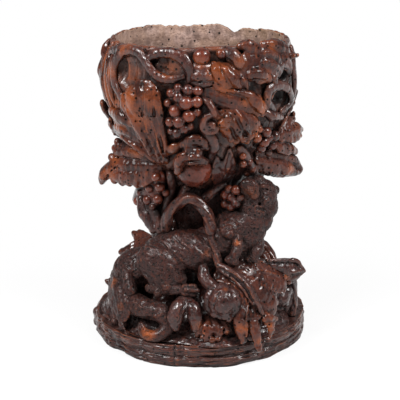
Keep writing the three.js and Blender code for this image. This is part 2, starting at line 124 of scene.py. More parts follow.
def levelHeight(level):
    # a level is 0 at the bowl's foot and 1 at its rim
    return cup["bowlFoot"] + np.asarray(level) * (cup["height"] - cup["bowlFoot"])


def onBowl(angle, level, out=0.0):
    height = levelHeight(level)
    return ringPoint(angle, bowlRadius(height) + out, height)


def onMound(points):
    return np.asarray(points, float) + [0, 0, cup["plinthHeight"]]


# The photograph's camera, in millimetres, degrees and pixels of a 400 x 400 picture
lens = {
    "distance": 488.8, "height": 209.1, "pitch": 16.18, "focal": 1009.9, "picture": 400, "sensor": 36,
    "search": (380, 540, 0.25),  # from, to and step of the distances where the bowl is looked for
}
lensEye = np.array([0, -lens["distance"], lens["height"]])


def photoRays(pixels):
    pixels = np.asarray(pixels, float)
    middle = lens["picture"] / 2
    right = (pixels[:, 0] - middle) / lens["focal"]
    up = (middle - pixels[:, 1]) / lens["focal"]
    sine = np.sin(np.radians(lens["pitch"]))
    cosine = np.cos(np.radians(lens["pitch"]))
    return np.stack([right, cosine + up * sine, up * cosine - sine], -1)


def bowlAt(spots):
    # spots are (pixel across, pixel down, height above the bowl), where the view meets the bowl
    spots = np.asarray(spots, float)
    rays = photoRays(spots)
    steps = np.arange(*lens["search"])
    points = lensEye + rays[:, None] * steps[None, :, None]
    over = np.hypot(points[..., 0], points[..., 1]) - bowlRadius(points[..., 2]) - spots[:, 2:3]
    first = np.where((over <= 0).any(1), (over <= 0).argmax(1), over.argmin(1))
    return points[np.arange(len(spots)), first]


def depthAt(spots):
    # spots are (pixel across, pixel down, distance in front of the cup's axis)
    spots = np.asarray(spots, float)
    rays = photoRays(spots)
    reach = (lens["distance"] - spots[:, 2]) / rays[:, 1]
    return lensEye + rays * reach[:, None]


def bowlFace(points):
    # the direction out of the bowl's side, from its slope over a millimetre
    slope = bowlRadius(points[..., 2] + 0.5) - bowlRadius(points[..., 2] - 0.5)
    around = unit(points[..., :2])
    return unit(np.concatenate([around, -slope[..., None]], -1))


# Strokes and balls that a piece is carved from; soft is how far a shape melts into those before it
def stroke(path, radii, soft=0.8, dig=False, face=None, flat=1.0):
    # a round line through a path; flat presses it thin along the direction that face gives
    path, shares = curve(path)
    return {"path": path, "radii": spread(radii, shares), "soft": soft, "dig": dig,
            "face": face(path) if face else None, "flat": flat}


def ball(at, size, turn=(0, 0, 0), soft=0.8, dig=False):
    size = np.broadcast_to(np.asarray(size, float), 3)
    frameTurn = np.array(Euler(np.radians(turn)).to_matrix())
    return {"at": np.asarray(at, float), "size": size, "turn": frameTurn, "soft": soft, "dig": dig}


# Millimetres in a block of clay: in empty space, away from a stroke, of its margin, of the skin with relief
block = {"empty": 2.2, "away": 9.0, "margin": 2.5, "skin": 1.5}


class Clay:
    # a block of voxels that holds a distance to the carved surface
    def __init__(self, shapes, voxel):
        low, high = [], []
        for shape in shapes:
            if shape["dig"]:
                continue
            reach = shape["size"].max() if "size" in shape else shape["radii"].max()
            path = shape["at"][None] if "at" in shape else shape["path"]
            low.append(path.min(0) - reach)
            high.append(path.max(0) + reach)
        self.voxel = voxel
        self.low = np.min(low, 0) - block["margin"]
        count = np.ceil((np.max(high, 0) + block["margin"] - self.low) / voxel).astype(int)
        self.field = np.full(count, block["empty"], np.float32)
        for shape in shapes:
            self.add(shape)

    def span(self, low, high):
        # the first voxel between two corners, and the one past the last
        first = np.floor((low - self.low) / self.voxel).astype(int)
        last = np.ceil((high - self.low) / self.voxel).astype(int) + 1
        return first, last

    def region(self, low, high):
        first, last = np.clip(self.span(low, high), 0, self.field.shape)
        axes = [self.low[k] + self.voxel * np.arange(first[k], last[k]) for k in range(3)]
        points = np.stack(np.meshgrid(*axes, indexing="ij"), -1).astype(np.float32)
        return tuple(slice(first[k], last[k]) for k in range(3)), points

    def add(self, shape):
        margin = block["empty"] + shape["soft"]
        field = self.ballField if "size" in shape else self.strokeField
        where, distance = field(shape, margin)
        old = -self.field[where] if shape["dig"] else self.field[where]
        blend = np.maximum(shape["soft"] - np.abs(old - distance), 0) / shape["soft"]
        new = np.minimum(old, distance) - blend ** 2 * shape["soft"] / 4
        self.field[where] = -new if shape["dig"] else new

    def ballField(self, shape, margin):
        reach = shape["size"].max() + margin
        where, points = self.region(shape["at"] - reach, shape["at"] + reach)
        spot = (points - shape["at"].astype(np.float32)) @ shape["turn"].astype(np.float32)
        near = np.linalg.norm(spot / shape["size"], axis=-1)
        slope = np.linalg.norm(spot / shape["size"] ** 2, axis=-1)
        return where, near * (near - 1) / np.maximum(slope, 1e-6)

    def strokeField(self, shape, margin):
        path = shape["path"].astype(np.float32)
        radii = shape["radii"].astype(np.float32)
        reach = radii.max() + margin
        where, points = self.region(path.min(0) - reach, path.max(0) + reach)
        start = np.array([part.start for part in where])
        field = np.full(points.shape[:3], block["away"], np.float32)
        for k in range(len(path) - 1):
            a, run = path[k], path[k + 1] - path[k]
            reach = max(radii[k], radii[k + 1]) + margin
            corners = self.span(np.minimum(a, a + run) - reach, np.maximum(a, a + run) + reach)
            first, last = np.maximum(np.array(corners) - start, 0)
            inner = tuple(slice(first[i], last[i]) for i in range(3))
            spot = points[inner] - a
            along = np.clip(spot @ run / max(run @ run, 1e-9), 0, 1)
            off = spot - along[..., None] * run
            if shape["face"] is not None:
                face = unit(shape["face"][k] + shape["face"][k + 1]).astype(np.float32)
                off = off + ((off @ face) * (shape["flat"] - 1))[..., None] * face
            distance = np.linalg.norm(off, axis=-1) - radii[k] - (radii[k + 1] - radii[k]) * along
            if shape["flat"] > 1:  # pressing stretches distances, so half of that is taken back
                distance = distance / (1 + (shape["flat"] - 1) / 2)
            field[inner] = np.minimum(field[inner], distance)
        return where, field

    def relief(self, height):
        # raises the surface by a height that is worked out near it
        near = np.abs(self.field) < block["skin"]
        points = self.low + self.voxel * np.argwhere(near)
        self.field[near] -= height(points)

    def mesh(self):
        grid = openvdb.FloatGrid(1.0)
        grid.copyFromArray(self.field)
        points, triangles, quads = grid.convertToPolygons(0.0, 0.0)
        return self.low + self.voxel * points, [*triangles.tolist(), *quads.tolist()]


def wrapped(points):
    # faces of a grid of points, rows by steps round, with a face over each end
    rows, count = points.shape[:2]
    index = np.arange(rows * count).reshape(rows, count)
    after = np.roll(index, -1, axis=1)
    quads = np.stack([index[:-1], after[:-1], after[1:], index[1:]], -1).reshape(-1, 4)
    return points.reshape(-1, 3), [*quads.tolist(), index[0, ::-1].tolist(), index[-1].tolist()]


# A vine is a tube with shallow grooves that wind along it, round at both ends
tube = {
    "step": 0.8, "sides": 22, "firstSide": (0.3, 0.5, 0.8), "blunt": 0.98,
    "grooves": 5, "grooveDepth": 0.11, "twist": 0.12, "oval": 0.04, "ovalTwist": 0.2, "lumps": (0.09, 3.5, 5),
}


def vineTube(path, radii):
    spine, shares = curve(path, tube["step"])
    ahead = unit(np.gradient(spine, axis=0))
    side = np.cross(ahead[0], tube["firstSide"])
    rounds = np.linspace(0, 2 * np.pi, tube["sides"], endpoint=False)
    length = np.append(0, np.cumsum(np.linalg.norm(np.diff(spine, axis=0), axis=1)))
    rings = []
    for k, (spot, way) in enumerate(zip(spine, ahead)):
        side = unit(side - way * (side @ way))
        other = np.cross(way, side)
        toEnd = min(length[k], length[-1] - length[k])
        radius = spread(radii, shares[k])
        radius = radius * np.sqrt(1 - (1 - min(toEnd / radius, 1)) ** 2 * tube["blunt"])
        grooves = np.cos(tube["grooves"] * (rounds + tube["twist"] * length[k]))
        oval = np.cos(2 * rounds + tube["ovalTwist"] * length[k])
        wave = 1 + tube["grooveDepth"] * grooves + tube["oval"] * oval
        ring = np.cos(rounds)[:, None] * side + np.sin(rounds)[:, None] * other
        lumps = 1 + lumpy(spot + ring * radius, tube["lumps"])
        rings.append(spot + ring * (radius * wave * lumps)[:, None])
    return wrapped(np.array(rings))


# Shader wires: sums, differences and products of sockets become Math nodes
class Wire:
    def __init__(self, finish, socket):
        self.finish = finish
        self.socket = socket

    def maths(self, operation, first, second):
        return self.finish.node("ShaderNodeMath", {"operation": operation}, {0: first, 1: second})

    def __add__(self, other):
        return self.maths("ADD", self, other)

    def __radd__(self, other):
        return self.maths("ADD", other, self)

    def __sub__(self, other):
        return self.maths("SUBTRACT", self, other)

    def __rsub__(self, other):
        return self.maths("SUBTRACT", other, self)

    def __mul__(self, other):
        return self.maths("MULTIPLY", self, other)

    def __rmul__(self, other):
        return self.maths("MULTIPLY", other, self)


class Finish:
    # one material, or the world, and the nodes in it
    def __init__(self, owner):
        owner.use_nodes = True
        self.owner = owner
        self.tree = owner.node_tree
        self.tree.nodes.clear()

    def node(self, kind, settings={}, inputs={}, output=0):
        made = self.tree.nodes.new(kind)
        for key, value in settings.items():
            setattr(made, key, value)
        for key, value in inputs.items():
            if isinstance(value, Wire):
                self.tree.links.new(value.socket, made.inputs[key])
            else:
                made.inputs[key].default_value = value
        return Wire(self, made.outputs[output]) if len(made.outputs) else None

    def within(self, value, low, high):
        # 0 below low, 1 above high, smooth between
        return self.node("ShaderNodeMapRange", {"interpolation_type": "SMOOTHSTEP"},
                         {"Value": value, "From Min": low, "From Max": high})

    def blend(self, share, first, second):
        # the colour inputs of a Mix node are its sockets 6 and 7, and its colour comes out of socket 2
        first = first if isinstance(first, Wire) else (*first, 1)
        second = second if isinstance(second, Wire) else (*second, 1)
        return self.node("ShaderNodeMix", {"data_type": "RGBA"}, {0: share, 6: first, 7: second}, 2)


# What all the woods share: scale per metre and detail of each noise, where each layer begins and is full,
# how strongly it shows, how much rougher it makes the wood and how far it stands in the bump
scales = {"patches": (95, 5), "specks": (820, 3), "bends": (300, 1), "grain": (1, 4), "gouges": (330, 1)}
limits = {
    "hole": (0.19, 0.25), "pit": (0.15, 0.5), "rubbedAndLit": (0.38, 0.8), "ridge": (0.5, 0.58),
    "flat": (0.45, 0.505), "worn": (0.45, 0.95),
    "right": (-0.005, 0.03), "bloomAndSheen": (0.4, 0.66), "open": (0.25, 0.95),
    "grain": (0.4, 0.6), "warm": (0.36, 0.68), "streak": (0.56, 0.72), "speck": (0.54, 0.7),
}
strengths = {"rubbedAndLit": 0.9, "speck": 0.4, "hollow": 0.88, "crease": 0.45, "pit": 0.75, "hole": 0.95}
roughens = {"bloomAndSheen": 0.15, "hollow": 0.2, "specks": 0.12}
bumps = {"strength": 0.9, "distance": 0.0005, "gouges": 1.3, "specks": 0.6, "holes": 1.6, "pits": 1.4}
weather = {
    "pitScale": 760, "pitBend": 0.004, "sparedEdge": 0.02, "holeColour": (0.004, 0.003, 0.002),
    "rubbedAndLitSpecks": 0.3, "wornSpecks": 0.4, "bloomAndSheenPatches": 0.6, "bloomAndSheenSpecks": 0.4, "bloomAndSheenDulls": 0.3,
    "openSamples": 6, "waxIndex": 1.45,
}


def waxedWood(name, look):
    # stained wood: black with patina and painted shade in the hollows, painted shade over dark holes, worn
    # orange on the ridges with painted light in places, grey with old wax and painted sheen, full of beetle
    # holes
    finish = Finish(bpy.data.materials.new(name))
    place = finish.node("ShaderNodeTexCoord", output="Object")

    def cloud(kind, vector, output=0):
        scale, detail = scales[kind]
        inputs = {"Vector": vector, "Scale": scale, "Detail": detail}
        return finish.node("ShaderNodeTexNoise", {}, inputs, output)

    def cells(vector, scale, output):
        return finish.node("ShaderNodeTexVoronoi", {}, {"Vector": vector, "Scale": scale}, output)

    def layer(kind, value):
        return finish.within(value, *limits[kind])

    def painted(key):
        return finish.node("ShaderNodeAttribute", {"attribute_name": key}, output="Fac")

    patches = cloud("patches", place)
    specks = cloud("specks", place)
    along = finish.node("ShaderNodeVectorMath", {"operation": "MULTIPLY"}, {0: place, 1: look["grain"]})
    grain = cloud("grain", along)
    gouges = cloud("gouges", place)
    ridge = finish.node("ShaderNodeNewGeometry", output="Pointiness")
    openness = finish.node("ShaderNodeAmbientOcclusion", {"samples": weather["openSamples"]},
                           {"Distance": look["reach"]}, "AO")
    holeKind = cells(place, look["holes"], "Color")
    kinds = finish.node("ShaderNodeSeparateColor", {}, {"Color": holeKind}, "Red")
    bored = finish.within(kinds, look["spared"], look["spared"] + weather["sparedEdge"])
    holes = (1 - layer("hole", cells(place, look["holes"], "Distance"))) * bored
    # the vector inputs of a Mix node are its sockets 4 and 5, and its vector comes out of socket 1
    bentPlace = finish.node("ShaderNodeMix", {"data_type": "VECTOR"},
                            {0: weather["pitBend"], 4: place, 5: cloud("bends", place, "Color")}, 1)
    # stipple pits, darkened below with dark patina and painted shade
    pits = (1 - layer("pit", cells(bentPlace, weather["pitScale"], "Distance"))) * look["stipple"]

    # rubbed orange: partly real wear, partly painted light that brightens places in shade
    rubbedAndLit = painted("worn") * layer("rubbedAndLit", patches + specks * weather["rubbedAndLitSpecks"])
    # painted shade: near black over deep holes and shaded gaps
    paintedShade = painted("paintedShade")
    worn = layer("ridge", ridge) * layer("worn", patches + specks * weather["wornSpecks"])
    # grey bloom: partly old wax, partly painted grey sheen; greyer still toward +X, painted sheen and shade
    # of the right side
    toRight = layer("right", finish.node("ShaderNodeSeparateXYZ", {}, {0: place}, "X"))
    bloomAndSheen = layer("bloomAndSheen", patches * weather["bloomAndSheenPatches"] + specks * weather["bloomAndSheenSpecks"]) * (
        look["bloomAndSheen"] + toRight * look["rightSheenAndShade"] * (1 - look["bloomAndSheen"]))
    # dark patina and painted shade: hollows darkened by occlusion, creases by concavity
    hollow = 1 - layer("open", openness)
    crease = 1 - layer("flat", ridge)

    colour = look["dark"]
    for share, paint in (
        (layer("grain", grain), look["body"]),
        (layer("warm", patches) * look["warmth"], look["warm"]),
        (layer("streak", grain) * look["streak"], look["orange"]),
        (bloomAndSheen, look["waxAndSheen"]),
        (worn * look["wear"], look["orange"]),
        (rubbedAndLit * strengths["rubbedAndLit"], look["orange"]),
        (layer("speck", specks) * strengths["speck"], look["dark"]),
        (hollow * strengths["hollow"], look["recess"]),
        (paintedShade, look["paintedShade"]),
        (crease * strengths["crease"], look["recess"]),
        (pits * strengths["pit"], look["recess"]),
        (holes * strengths["hole"], weather["holeColour"]),
    ):
        colour = finish.blend(share, colour, paint)
    rough = look["rough"] + bloomAndSheen * roughens["bloomAndSheen"]
    rough = rough + hollow * roughens["hollow"] + specks * roughens["specks"]
    lacquer = (1 - hollow) * (1 - bloomAndSheen * weather["bloomAndSheenDulls"]) * (1 - holes) * (1 - paintedShade) * look["coat"]
    raised = gouges * bumps["gouges"] + specks * bumps["specks"] + grain * look["cuts"]
    relief = raised - holes * bumps["holes"] - pits * bumps["pits"]
    bump = finish.node("ShaderNodeBump", {}, {
        "Strength": bumps["strength"], "Distance": bumps["distance"], "Height": relief})
    shade = finish.node("ShaderNodeBsdfPrincipled", {}, {
        "Base Color": colour, "Roughness": rough, "Normal": bump, "Specular IOR Level": look["shine"],
        "Coat Weight": lacquer, "Coat Roughness": look["blur"], "Coat IOR": weather["waxIndex"]})
    finish.node("ShaderNodeOutputMaterial", {}, {"Surface": shade})
    return finish.owner


# Colours and shares of the stain, and what each wood has of its own
stain = {
    "body": (0.033, 0.0060, 0.0042), "dark": (0.015, 0.0032, 0.0022), "warm": (0.076, 0.0130, 0.0056),
    # the colour of the hollows is dark patina and painted shade
    "orange": (0.25, 0.055, 0.008), "waxAndSheen": (0.036, 0.024, 0.0245), "recess": (0.018, 0.0105, 0.0095),
    # the near-black colour of the painted shade over holes and gaps
    "paintedShade": (0.007, 0.0045, 0.004),
    # shares of the grey bloom, old wax and painted sheen, and of the painted sheen and shade toward the right
    "bloomAndSheen": 0.3, "warmth": 0.75, "wear": 0.85, "rough": 0.27, "coat": 0.95, "shine": 0.2, "rightSheenAndShade": 0.5,
    "blur": 0.15, "cuts": 0.5, "streak": 0.12, "spared": 0.42,
    "grain": (900, 900, 110), "holes": 420, "reach": 0.008, "stipple": 0.15,
}
woods = {
    "leaf_wood": waxedWood("leafWood", stain | {
        "body": (0.042, 0.0082, 0.0040), "warm": (0.112, 0.0200, 0.0055), "wear": 0.95, "bloomAndSheen": 0.15,
        "shine": 0.07, "coat": 0.9, "blur": 0.12, "cuts": 1.0, "streak": 0.3}),
    "vine_wood": waxedWood("vineWood", stain),
    "grape_wood": waxedWood("grapeWood", stain | {
        "body": (0.070, 0.009, 0.004), "warm": (0.15, 0.021, 0.006), "bloomAndSheen": 0.08, "coat": 1,
        "spared": 0.8, "shine": 0.15, "rightSheenAndShade": 0.1, "blur": 0.1}),
    "beast_wood": waxedWood("beastWood", stain | {
        "body": (0.031, 0.0068, 0.0045), "waxAndSheen": (0.022, 0.0150, 0.0150), "bloomAndSheen": 0.7, "warmth": 0.4,
        "wear": 0.4, "rough": 0.4, "coat": 0.2, "stipple": 0.8, "shine": 0.22}),
    "ground_wood": waxedWood("groundWood", stain | {
        "bloomAndSheen": 0.6, "warmth": 0.5, "wear": 0.5, "coat": 0.75, "stipple": 0.5}),
    "plinth_wood": waxedWood("plinthWood", stain | {
        "bloomAndSheen": 0.5, "waxAndSheen": (0.060, 0.042, 0.036), "grain": (160, 160, 1400), "coat": 0.6, "stipple": 0.3}),
    "bowl_wood": waxedWood("bowlWood", stain | {
        "warm": (0.18, 0.044, 0.014), "body": (0.06, 0.016, 0.009)}),
}
insideWood = waxedWood("insideWood", stain | {
    "body": (0.33, 0.226, 0.192), "dark": (0.165, 0.108, 0.09), "warm": (0.365, 0.236, 0.178),
    "waxAndSheen": (0.13, 0.078, 0.046), "recess": (0.09, 0.054, 0.04), "orange": (0.37, 0.23, 0.145), "bloomAndSheen": 0.08,
    "rough": 0.45, "coat": 0.0, "rightSheenAndShade": 0.85, "grain": (300, 300, 200), "holes": 380})
print("finishes:", len(woods) + 1)

# Places made orange, partly rubbed wear and partly painted light on spots in shade, as pixels and a reach in
# millimetres, on the bowl and in front of the axis.
# On the bowl they lie at a height above it, and all fade between two shares of their reach.
patch = {"height": 2, "full": 0.3, "gone": 1.3}
wornAndLitOnBowl = (
    (134, 98, 8), (149, 100, 7), (137, 124, 5), (122, 120, 5), (108, 90, 6), (112, 70, 5), (103, 176, 6),
    (118, 160, 5), (135, 150, 5), (182, 160, 5), (198, 158, 4), (176, 147, 4), (218, 72, 6), (226, 86, 5),
    (236, 62, 5), (259, 106, 6), (225, 121, 6), (238, 137, 5), (251, 132, 6), (291, 132, 7), (297, 170, 5),
    (200, 61, 4), (219, 51, 3), (127, 51, 5), (246, 99, 4), (286, 146, 6), (262, 76, 4), (272, 47, 4),
    (106, 76, 6), (111, 102, 7), (117, 124, 6), (105, 62, 4), (169, 67, 5), (131, 77, 6), (143, 112, 7),
    (156, 108, 5),
)
wornAndLitInFront = (  # third number: distance before the axis
    (250, 192, 35, 4), (237, 242, 43, 2), (113, 296, 20, 3), (148, 332, 48, 4.5), (243, 326, 51, 3.6),
    (258, 340, 51, 2), (268, 326, 48, 3), (114, 284, 25, 3), (122, 306, 35, 2.5), (114, 332, 24, 4),
    (208, 254, 42, 3), (225, 291, 50, 1.6), (196, 324, 50, 3), (285, 276, 28, 3),
)

# Painted shade that blackens deep holes and gaps, as pixels, height above the bowl, reach and share
paintedShadeOnBowl = (
    (283, 75, -1, 5, 1), (279, 97, -1.5, 5, 1), (239, 174, 0, 5, 0.9), (235, 183, 0, 4, 0.9),
    (122, 70, 0, 3, 0.7), (154, 58, 0, 2.2, 0.8), (193, 180, 8, 6, 0.5),
)
paintedShadeInFront = ((158, 210, 20, 4, 0.9), (150, 207, 18, 3, 0.8))  # third number: distance before the axis


def nearShare(points, places, reaches, shares):
    total = np.zeros(len(points))
    for place, reach, share in zip(places, reaches, shares):
        away = np.linalg.norm(points - place, axis=1)
        total = np.maximum(total, share * (1 - smooth(away, patch["full"] * reach, patch["gone"] * reach)))
    return total


def wornAndLitShare(points):
    bowlPlaces = bowlAt([(across, down, patch["height"]) for across, down, reach in wornAndLitOnBowl])
    places = [*bowlPlaces, *depthAt([spot[:3] for spot in wornAndLitInFront])]
    return nearShare(points, places, [spot[-1] for spot in wornAndLitOnBowl + wornAndLitInFront], np.ones(len(places)))


def paintedShadeShare(points):
    places = [*bowlAt([spot[:3] for spot in paintedShadeOnBowl]), *depthAt([spot[:3] for spot in paintedShadeInFront])]
    reaches, shares = np.array(paintedShadeOnBowl + paintedShadeInFront)[:, 3:].T
    return nearShare(points, places, reaches, shares)


# Voxels in millimetres, finer where the cuts are finer
voxels = {"plain": 0.5, "fur": 0.48, "leaf": 0.55, "read": 0.46}


def makePiece(node, points, faces, slot, inside=None):
    # a carved piece in place of a node of the frame, or an extra one where the frame has no such node
    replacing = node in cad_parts
    mesh = bpy.data.meshes.new(node + "_carved" if replacing else node)
    mesh.from_pydata((np.asarray(points) * mm).tolist(), [], faces)
    mesh.materials.append(woods[slot])
    if inside is not None:
        mesh.materials.append(insideWood)
        mesh.polygons.foreach_set("material_index", inside)
    mesh.polygons.foreach_set("use_smooth", [len(face) < 5 for face in faces])  # end faces stay flat
    # the first attribute is rubbed wear and painted light, the second is painted shade over holes and gaps
    for key, share in (("worn", wornAndLitShare), ("paintedShade", paintedShadeShare)):
        attribute = mesh.attributes.new(key, "FLOAT", "POINT")
        attribute.data.foreach_set("value", share(np.asarray(points)))
    piece = bpy.data.objects.new(mesh.name, mesh)
    bpy.context.scene.collection.objects.link(piece)
    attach(piece, "root")
    if replacing:
        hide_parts(node)


def carve(node, shapes, slot, relief, voxel=voxels["plain"]):
    clay = Clay(shapes, voxel)
    clay.relief(relief)
    makePiece(node, *clay.mesh(), slot)


# The marks of small gouges: noise, with a share of finer noise on it
gouge = {"size": 1.8, "seeds": (1, 2), "fine": 0.5, "finer": 2.3}


def tooled(depth, size=gouge["size"]):
    first, second = gouge["seeds"]
    layers = ((1, size, first), (gouge["fine"], size / gouge["finer"], second))
    return lambda points: depth * lumpy(points, *layers)


# Fine cuts that run up and down a leaf
veins = {"stretch": (1, 1, 0.3), "cuts": (0.3, 1.7, 90), "grit": (0.09, 1, 91)}


def veined(points):
    return lumpy(points * veins["stretch"], veins["cuts"]) + lumpy(points, veins["grit"])


# Carving read off the photograph: a line is a path of (pixel across, pixel down, height above the bowl or
# distance in front of the axis) and its radii in millimetres; sheets are pressed thin, grooves are cut.
# On the bowl a low skirt under each line runs into the ground.
pressed = {"sheets": 4, "lobes": 1.5, "ribs": 1}
reading = {"step": 3, "soft": 0.7, "ballSoft": 0.4, "grooveSoft": 0.5}
skirt = {"wide": 1.2, "sunk": 2.2, "flat": 1.6, "soft": 1.2}
moundRise = 22


def moundFace(points):
    # the direction out of the mound, which leans up
    return unit(points * [1, 1, 0] + [0, 0, moundRise])


def readLine(path, radii):
    # points close together along a line, still in pixels, and the radius at each
    spots, shares = curve(path, reading["step"])
    return spots, spread(radii, shares)


def skirtUnder(spots, radii, soft):
    low = bowlAt(spots - [0, 0, skirt["sunk"]])
    return stroke(low, skirt["wide"] * radii, soft, face=bowlFace, flat=skirt["flat"])


def photoShapes(parts, place, face):
    shapes = []
    for kind, flat in pressed.items():
        for line in parts.get(kind, ()):
            spots, radii = readLine(*line)
            shapes.append(stroke(place(spots), radii, reading["soft"], face=face, flat=flat))
            if place is bowlAt and kind != "sheets":
                shapes.append(skirtUnder(spots, radii, skirt["soft"]))
    for *spot, radius in parts.get("balls", ()):
        shapes.append(ball(place([spot])[0], radius, soft=reading["ballSoft"]))
    for line in parts.get("grooves", ()):
        spots, radii = readLine(*line)
        shapes.append(stroke(place(spots), radii, reading["grooveSoft"], dig=True))
    return shapes


def carveRead(pieces, slot, place, face, relief):
    for node, parts in pieces.items():
        carve(node, photoShapes(parts, place, face), slot, relief, voxels["read"])


# Bowl: hollow, thin and chipped at the rim, with rough ground between the carvings
bowl = {
    "around": 400, "outerRows": 105, "innerRows": 44, "lipRows": 5, "lip": 1.2, "rimFade": 2.5,
    "ground": 1.7, "sunk": 0.3,
    "foldTop": 0.45, "folds": ((1, 5, 2), (0.5, 2.4, 6)), "foldStretch": (1, 1, 0.6),
    "streaks": 1.1, "streakAngles": (-118, -106, -56, -50), "streakHeights": (84, 96), "streakRise": 0.6,
    "streakStretch": (1, 1, 0.16), "streakNoise": ((1, 2.6, 7), (0.5, 1.3, 8)),
    "pixel": 0.47, "pitFade": (0.6, 1.1),
    "pits": (  # pixel across and down, half width and half height in pixels, depth
        (129, 74, 10, 15, 0.8), (123, 70, 4, 13, 1.6), (166, 65, 16, 8, 0.3), (154, 59, 5, 4, 1),
        (283, 75, 5, 10, 3), (279, 97, 6, 7, 3), (164, 101, 4, 13, 2),
    ),
}
hollowed = {  # shares are of the way down
    "pace": 1.15, "thinRim": 0.62, "thinTo": 0.1, "floorFrom": 0.6, "dishFrom": 0.97, "dish": 1.2,
    "lumps": (0.3, 9, 11), "marks": (0.22, 3, 12), "markStretch": (1, 1, 0.4),
}
rim = {
    "dip": 0.7, "wave": 0.35, "waves": ((3, 1), (7, 0)),  # count and start of each wave round the rim
    "least": 0.02, "chips": ((0.5, 2.6, 3), (0.3, 1.2, 4)),
    "chipsInFront": 0.25, "chipAngles": (25, 60), "notchAngle": 155, "notchDepth": 2.6, "notchWidth": 4.5,
    "backRise": 1.3, "leftRise": (100, 130), "rightRise": (158, 168),
}


def rimDip(angle):
    turn = np.radians(angle)
    wave = rim["dip"] - rim["wave"] * sum(np.sin(count * turn + start) for count, start in rim["waves"])
    chipped = rim["chipsInFront"] + (1 - rim["chipsInFront"]) * smooth(np.abs(angle), *rim["chipAngles"])
    chips = lumpy(ringPoint(angle, cup["rimRadius"], 0.0), *rim["chips"]) * chipped
    away = np.abs(angle - rim["notchAngle"])
    notch = rim["notchDepth"] * np.exp(-(np.minimum(away, 360 - away) / rim["notchWidth"]) ** 2)
    raised = rim["backRise"] * (smooth(-angle, *rim["leftRise"]) + smooth(angle, *rim["rightRise"]))
    return np.maximum(wave + chips, rim["least"]) + notch - raised


def bowlGround(angle, height, spots):
    # how far the ground stands out: folds, worn streaks at the left, and pits
    first, full, fade, last = bowl["streakAngles"]
    streaky = smooth(angle, first, full) * (1 - smooth(angle, fade, last))
    streaky = streaky * smooth(height, *bowl["streakHeights"])
    folds = bowl["foldTop"]
    for depth, size, seed in bowl["folds"]:
        folds = folds - depth * np.abs(noise(spots * bowl["foldStretch"], size, seed))
    out = bowl["ground"] * folds - bowl["sunk"]
    worn = bowl["streakRise"] + lumpy(spots * bowl["streakStretch"], *bowl["streakNoise"])
    out = out + streaky * bowl["streaks"] * worn
    for across, down, halfWidth, halfHeight, depth in bowl["pits"]:
        x, y, z = bowlAt([(across, down, 0)])[0]
        halfAngle = halfWidth * bowl["pixel"] / np.radians(-y)  # -y is the distance in front of the axis
        sideways = (angle - np.degrees(np.arctan2(x, -y))) / halfAngle
        away = np.hypot(sideways, (height - z) / halfHeight / bowl["pixel"])
        out = out - depth * (1 - smooth(away, *bowl["pitFade"]))
    return out


def makeBowl():
    angle = wholeTurn(bowl["around"])
    top = cup["height"] - rimDip(angle)
    lip = bowl["lip"]
    height = cup["bowlFoot"] + (top - lip - cup["bowlFoot"]) * np.linspace(0, 1, bowl["outerRows"])[:, None]
    radius = bowlRadius(height)
    out = bowlGround(angle, height, ringPoint(angle, radius, height))
    outer = ringPoint(angle, radius + out * smooth(top - height, lip, lip + bowl["rimFade"]), height)
    bend = np.radians(np.linspace(0, 90, bowl["lipRows"] + 1))[1:, None]
    edge = ringPoint(angle, bowlRadius(top) - lip * (1 - np.cos(bend)), top - lip * (1 - np.sin(bend)))
    down = np.linspace(0, 1, bowl["innerRows"])[:, None] ** hollowed["pace"]
    height = top + (cup["floor"] - top) * down
    thin = hollowed["thinRim"]
    hollow = bowlRadius(height) - cup["wall"] * (thin + (1 - thin) * smooth(down, 0, hollowed["thinTo"]))
    radius = hollow + (cup["floorRadius"] - hollow) * smooth(down, hollowed["floorFrom"], 1)
    spots = ringPoint(angle, radius, height)
    marks = lumpy(spots, hollowed["lumps"]) + lumpy(spots * hollowed["markStretch"], hollowed["marks"])
    dish = hollowed["dish"] * smooth(down, hollowed["dishFrom"], 1)
    inner = ringPoint(angle, radius + marks, height - dish)
    points, faces = wrapped(np.concatenate([outer, edge, inner]))
    bare = np.zeros(len(faces), int)
    bare[(bowl["outerRows"] + bowl["lipRows"]) * bowl["around"]:-2] = 1
    bare[-1] = 1
    makePiece("bowl", points, faces, "bowl_wood", bare)


makeBowl()
print("bowl done")

# Plinth, stump and mound
plinth = {
    "around": 380, "sideRows": 50, "topRows": 34, "topInner": 0.45, "bandDepth": 1.6,
    "bands": ((2.7, 3.0), (8.3, 3.0)),  # height and half height of a band
    "sway": (20, 0.9, 5, 20), "swell": (30, 0.3, 6, 27),  # radius of a ring, and the noise on it
    "bark": 0.6, "coarse": ((0.16, 0.16, 1.6), (1, 1.4, 22)), "fine": ((0.3, 0.3, 2), (0.6, 1, 23)),
    "knots": 0.9, "knotAt": ((1, 1, 0.5), (1, 5, 24)), "knotFrom": (0.3, 0.7),
    "nicks": 0.8, "nickAt": ((1, 1, 0.12), (1, 2.2, 28)), "nickFrom": (0.55, 0.8),
    "sunk": 0.3, "topLumps": ((0.5, 3.2, 25), (0.3, 1.3, 26)), "topSunk": 0.4,
}
stump = {
    "around": 220, "rows": 90, "heights": (11.3, 37.5, 53.5, 79.7), "radii": (26, 18.3, 18.3, 22.6),
    "ribs": 7, "ribDepth": 1.5, "ribLevel": 0.6, "twist": 0.9, "twistHeight": 40, "bend": (0.25, 14, 30),
    "barkStretch": (1, 1, 0.25), "bark": (0.4, 2, 31), "lumps": (0.3, 5, 32),
}
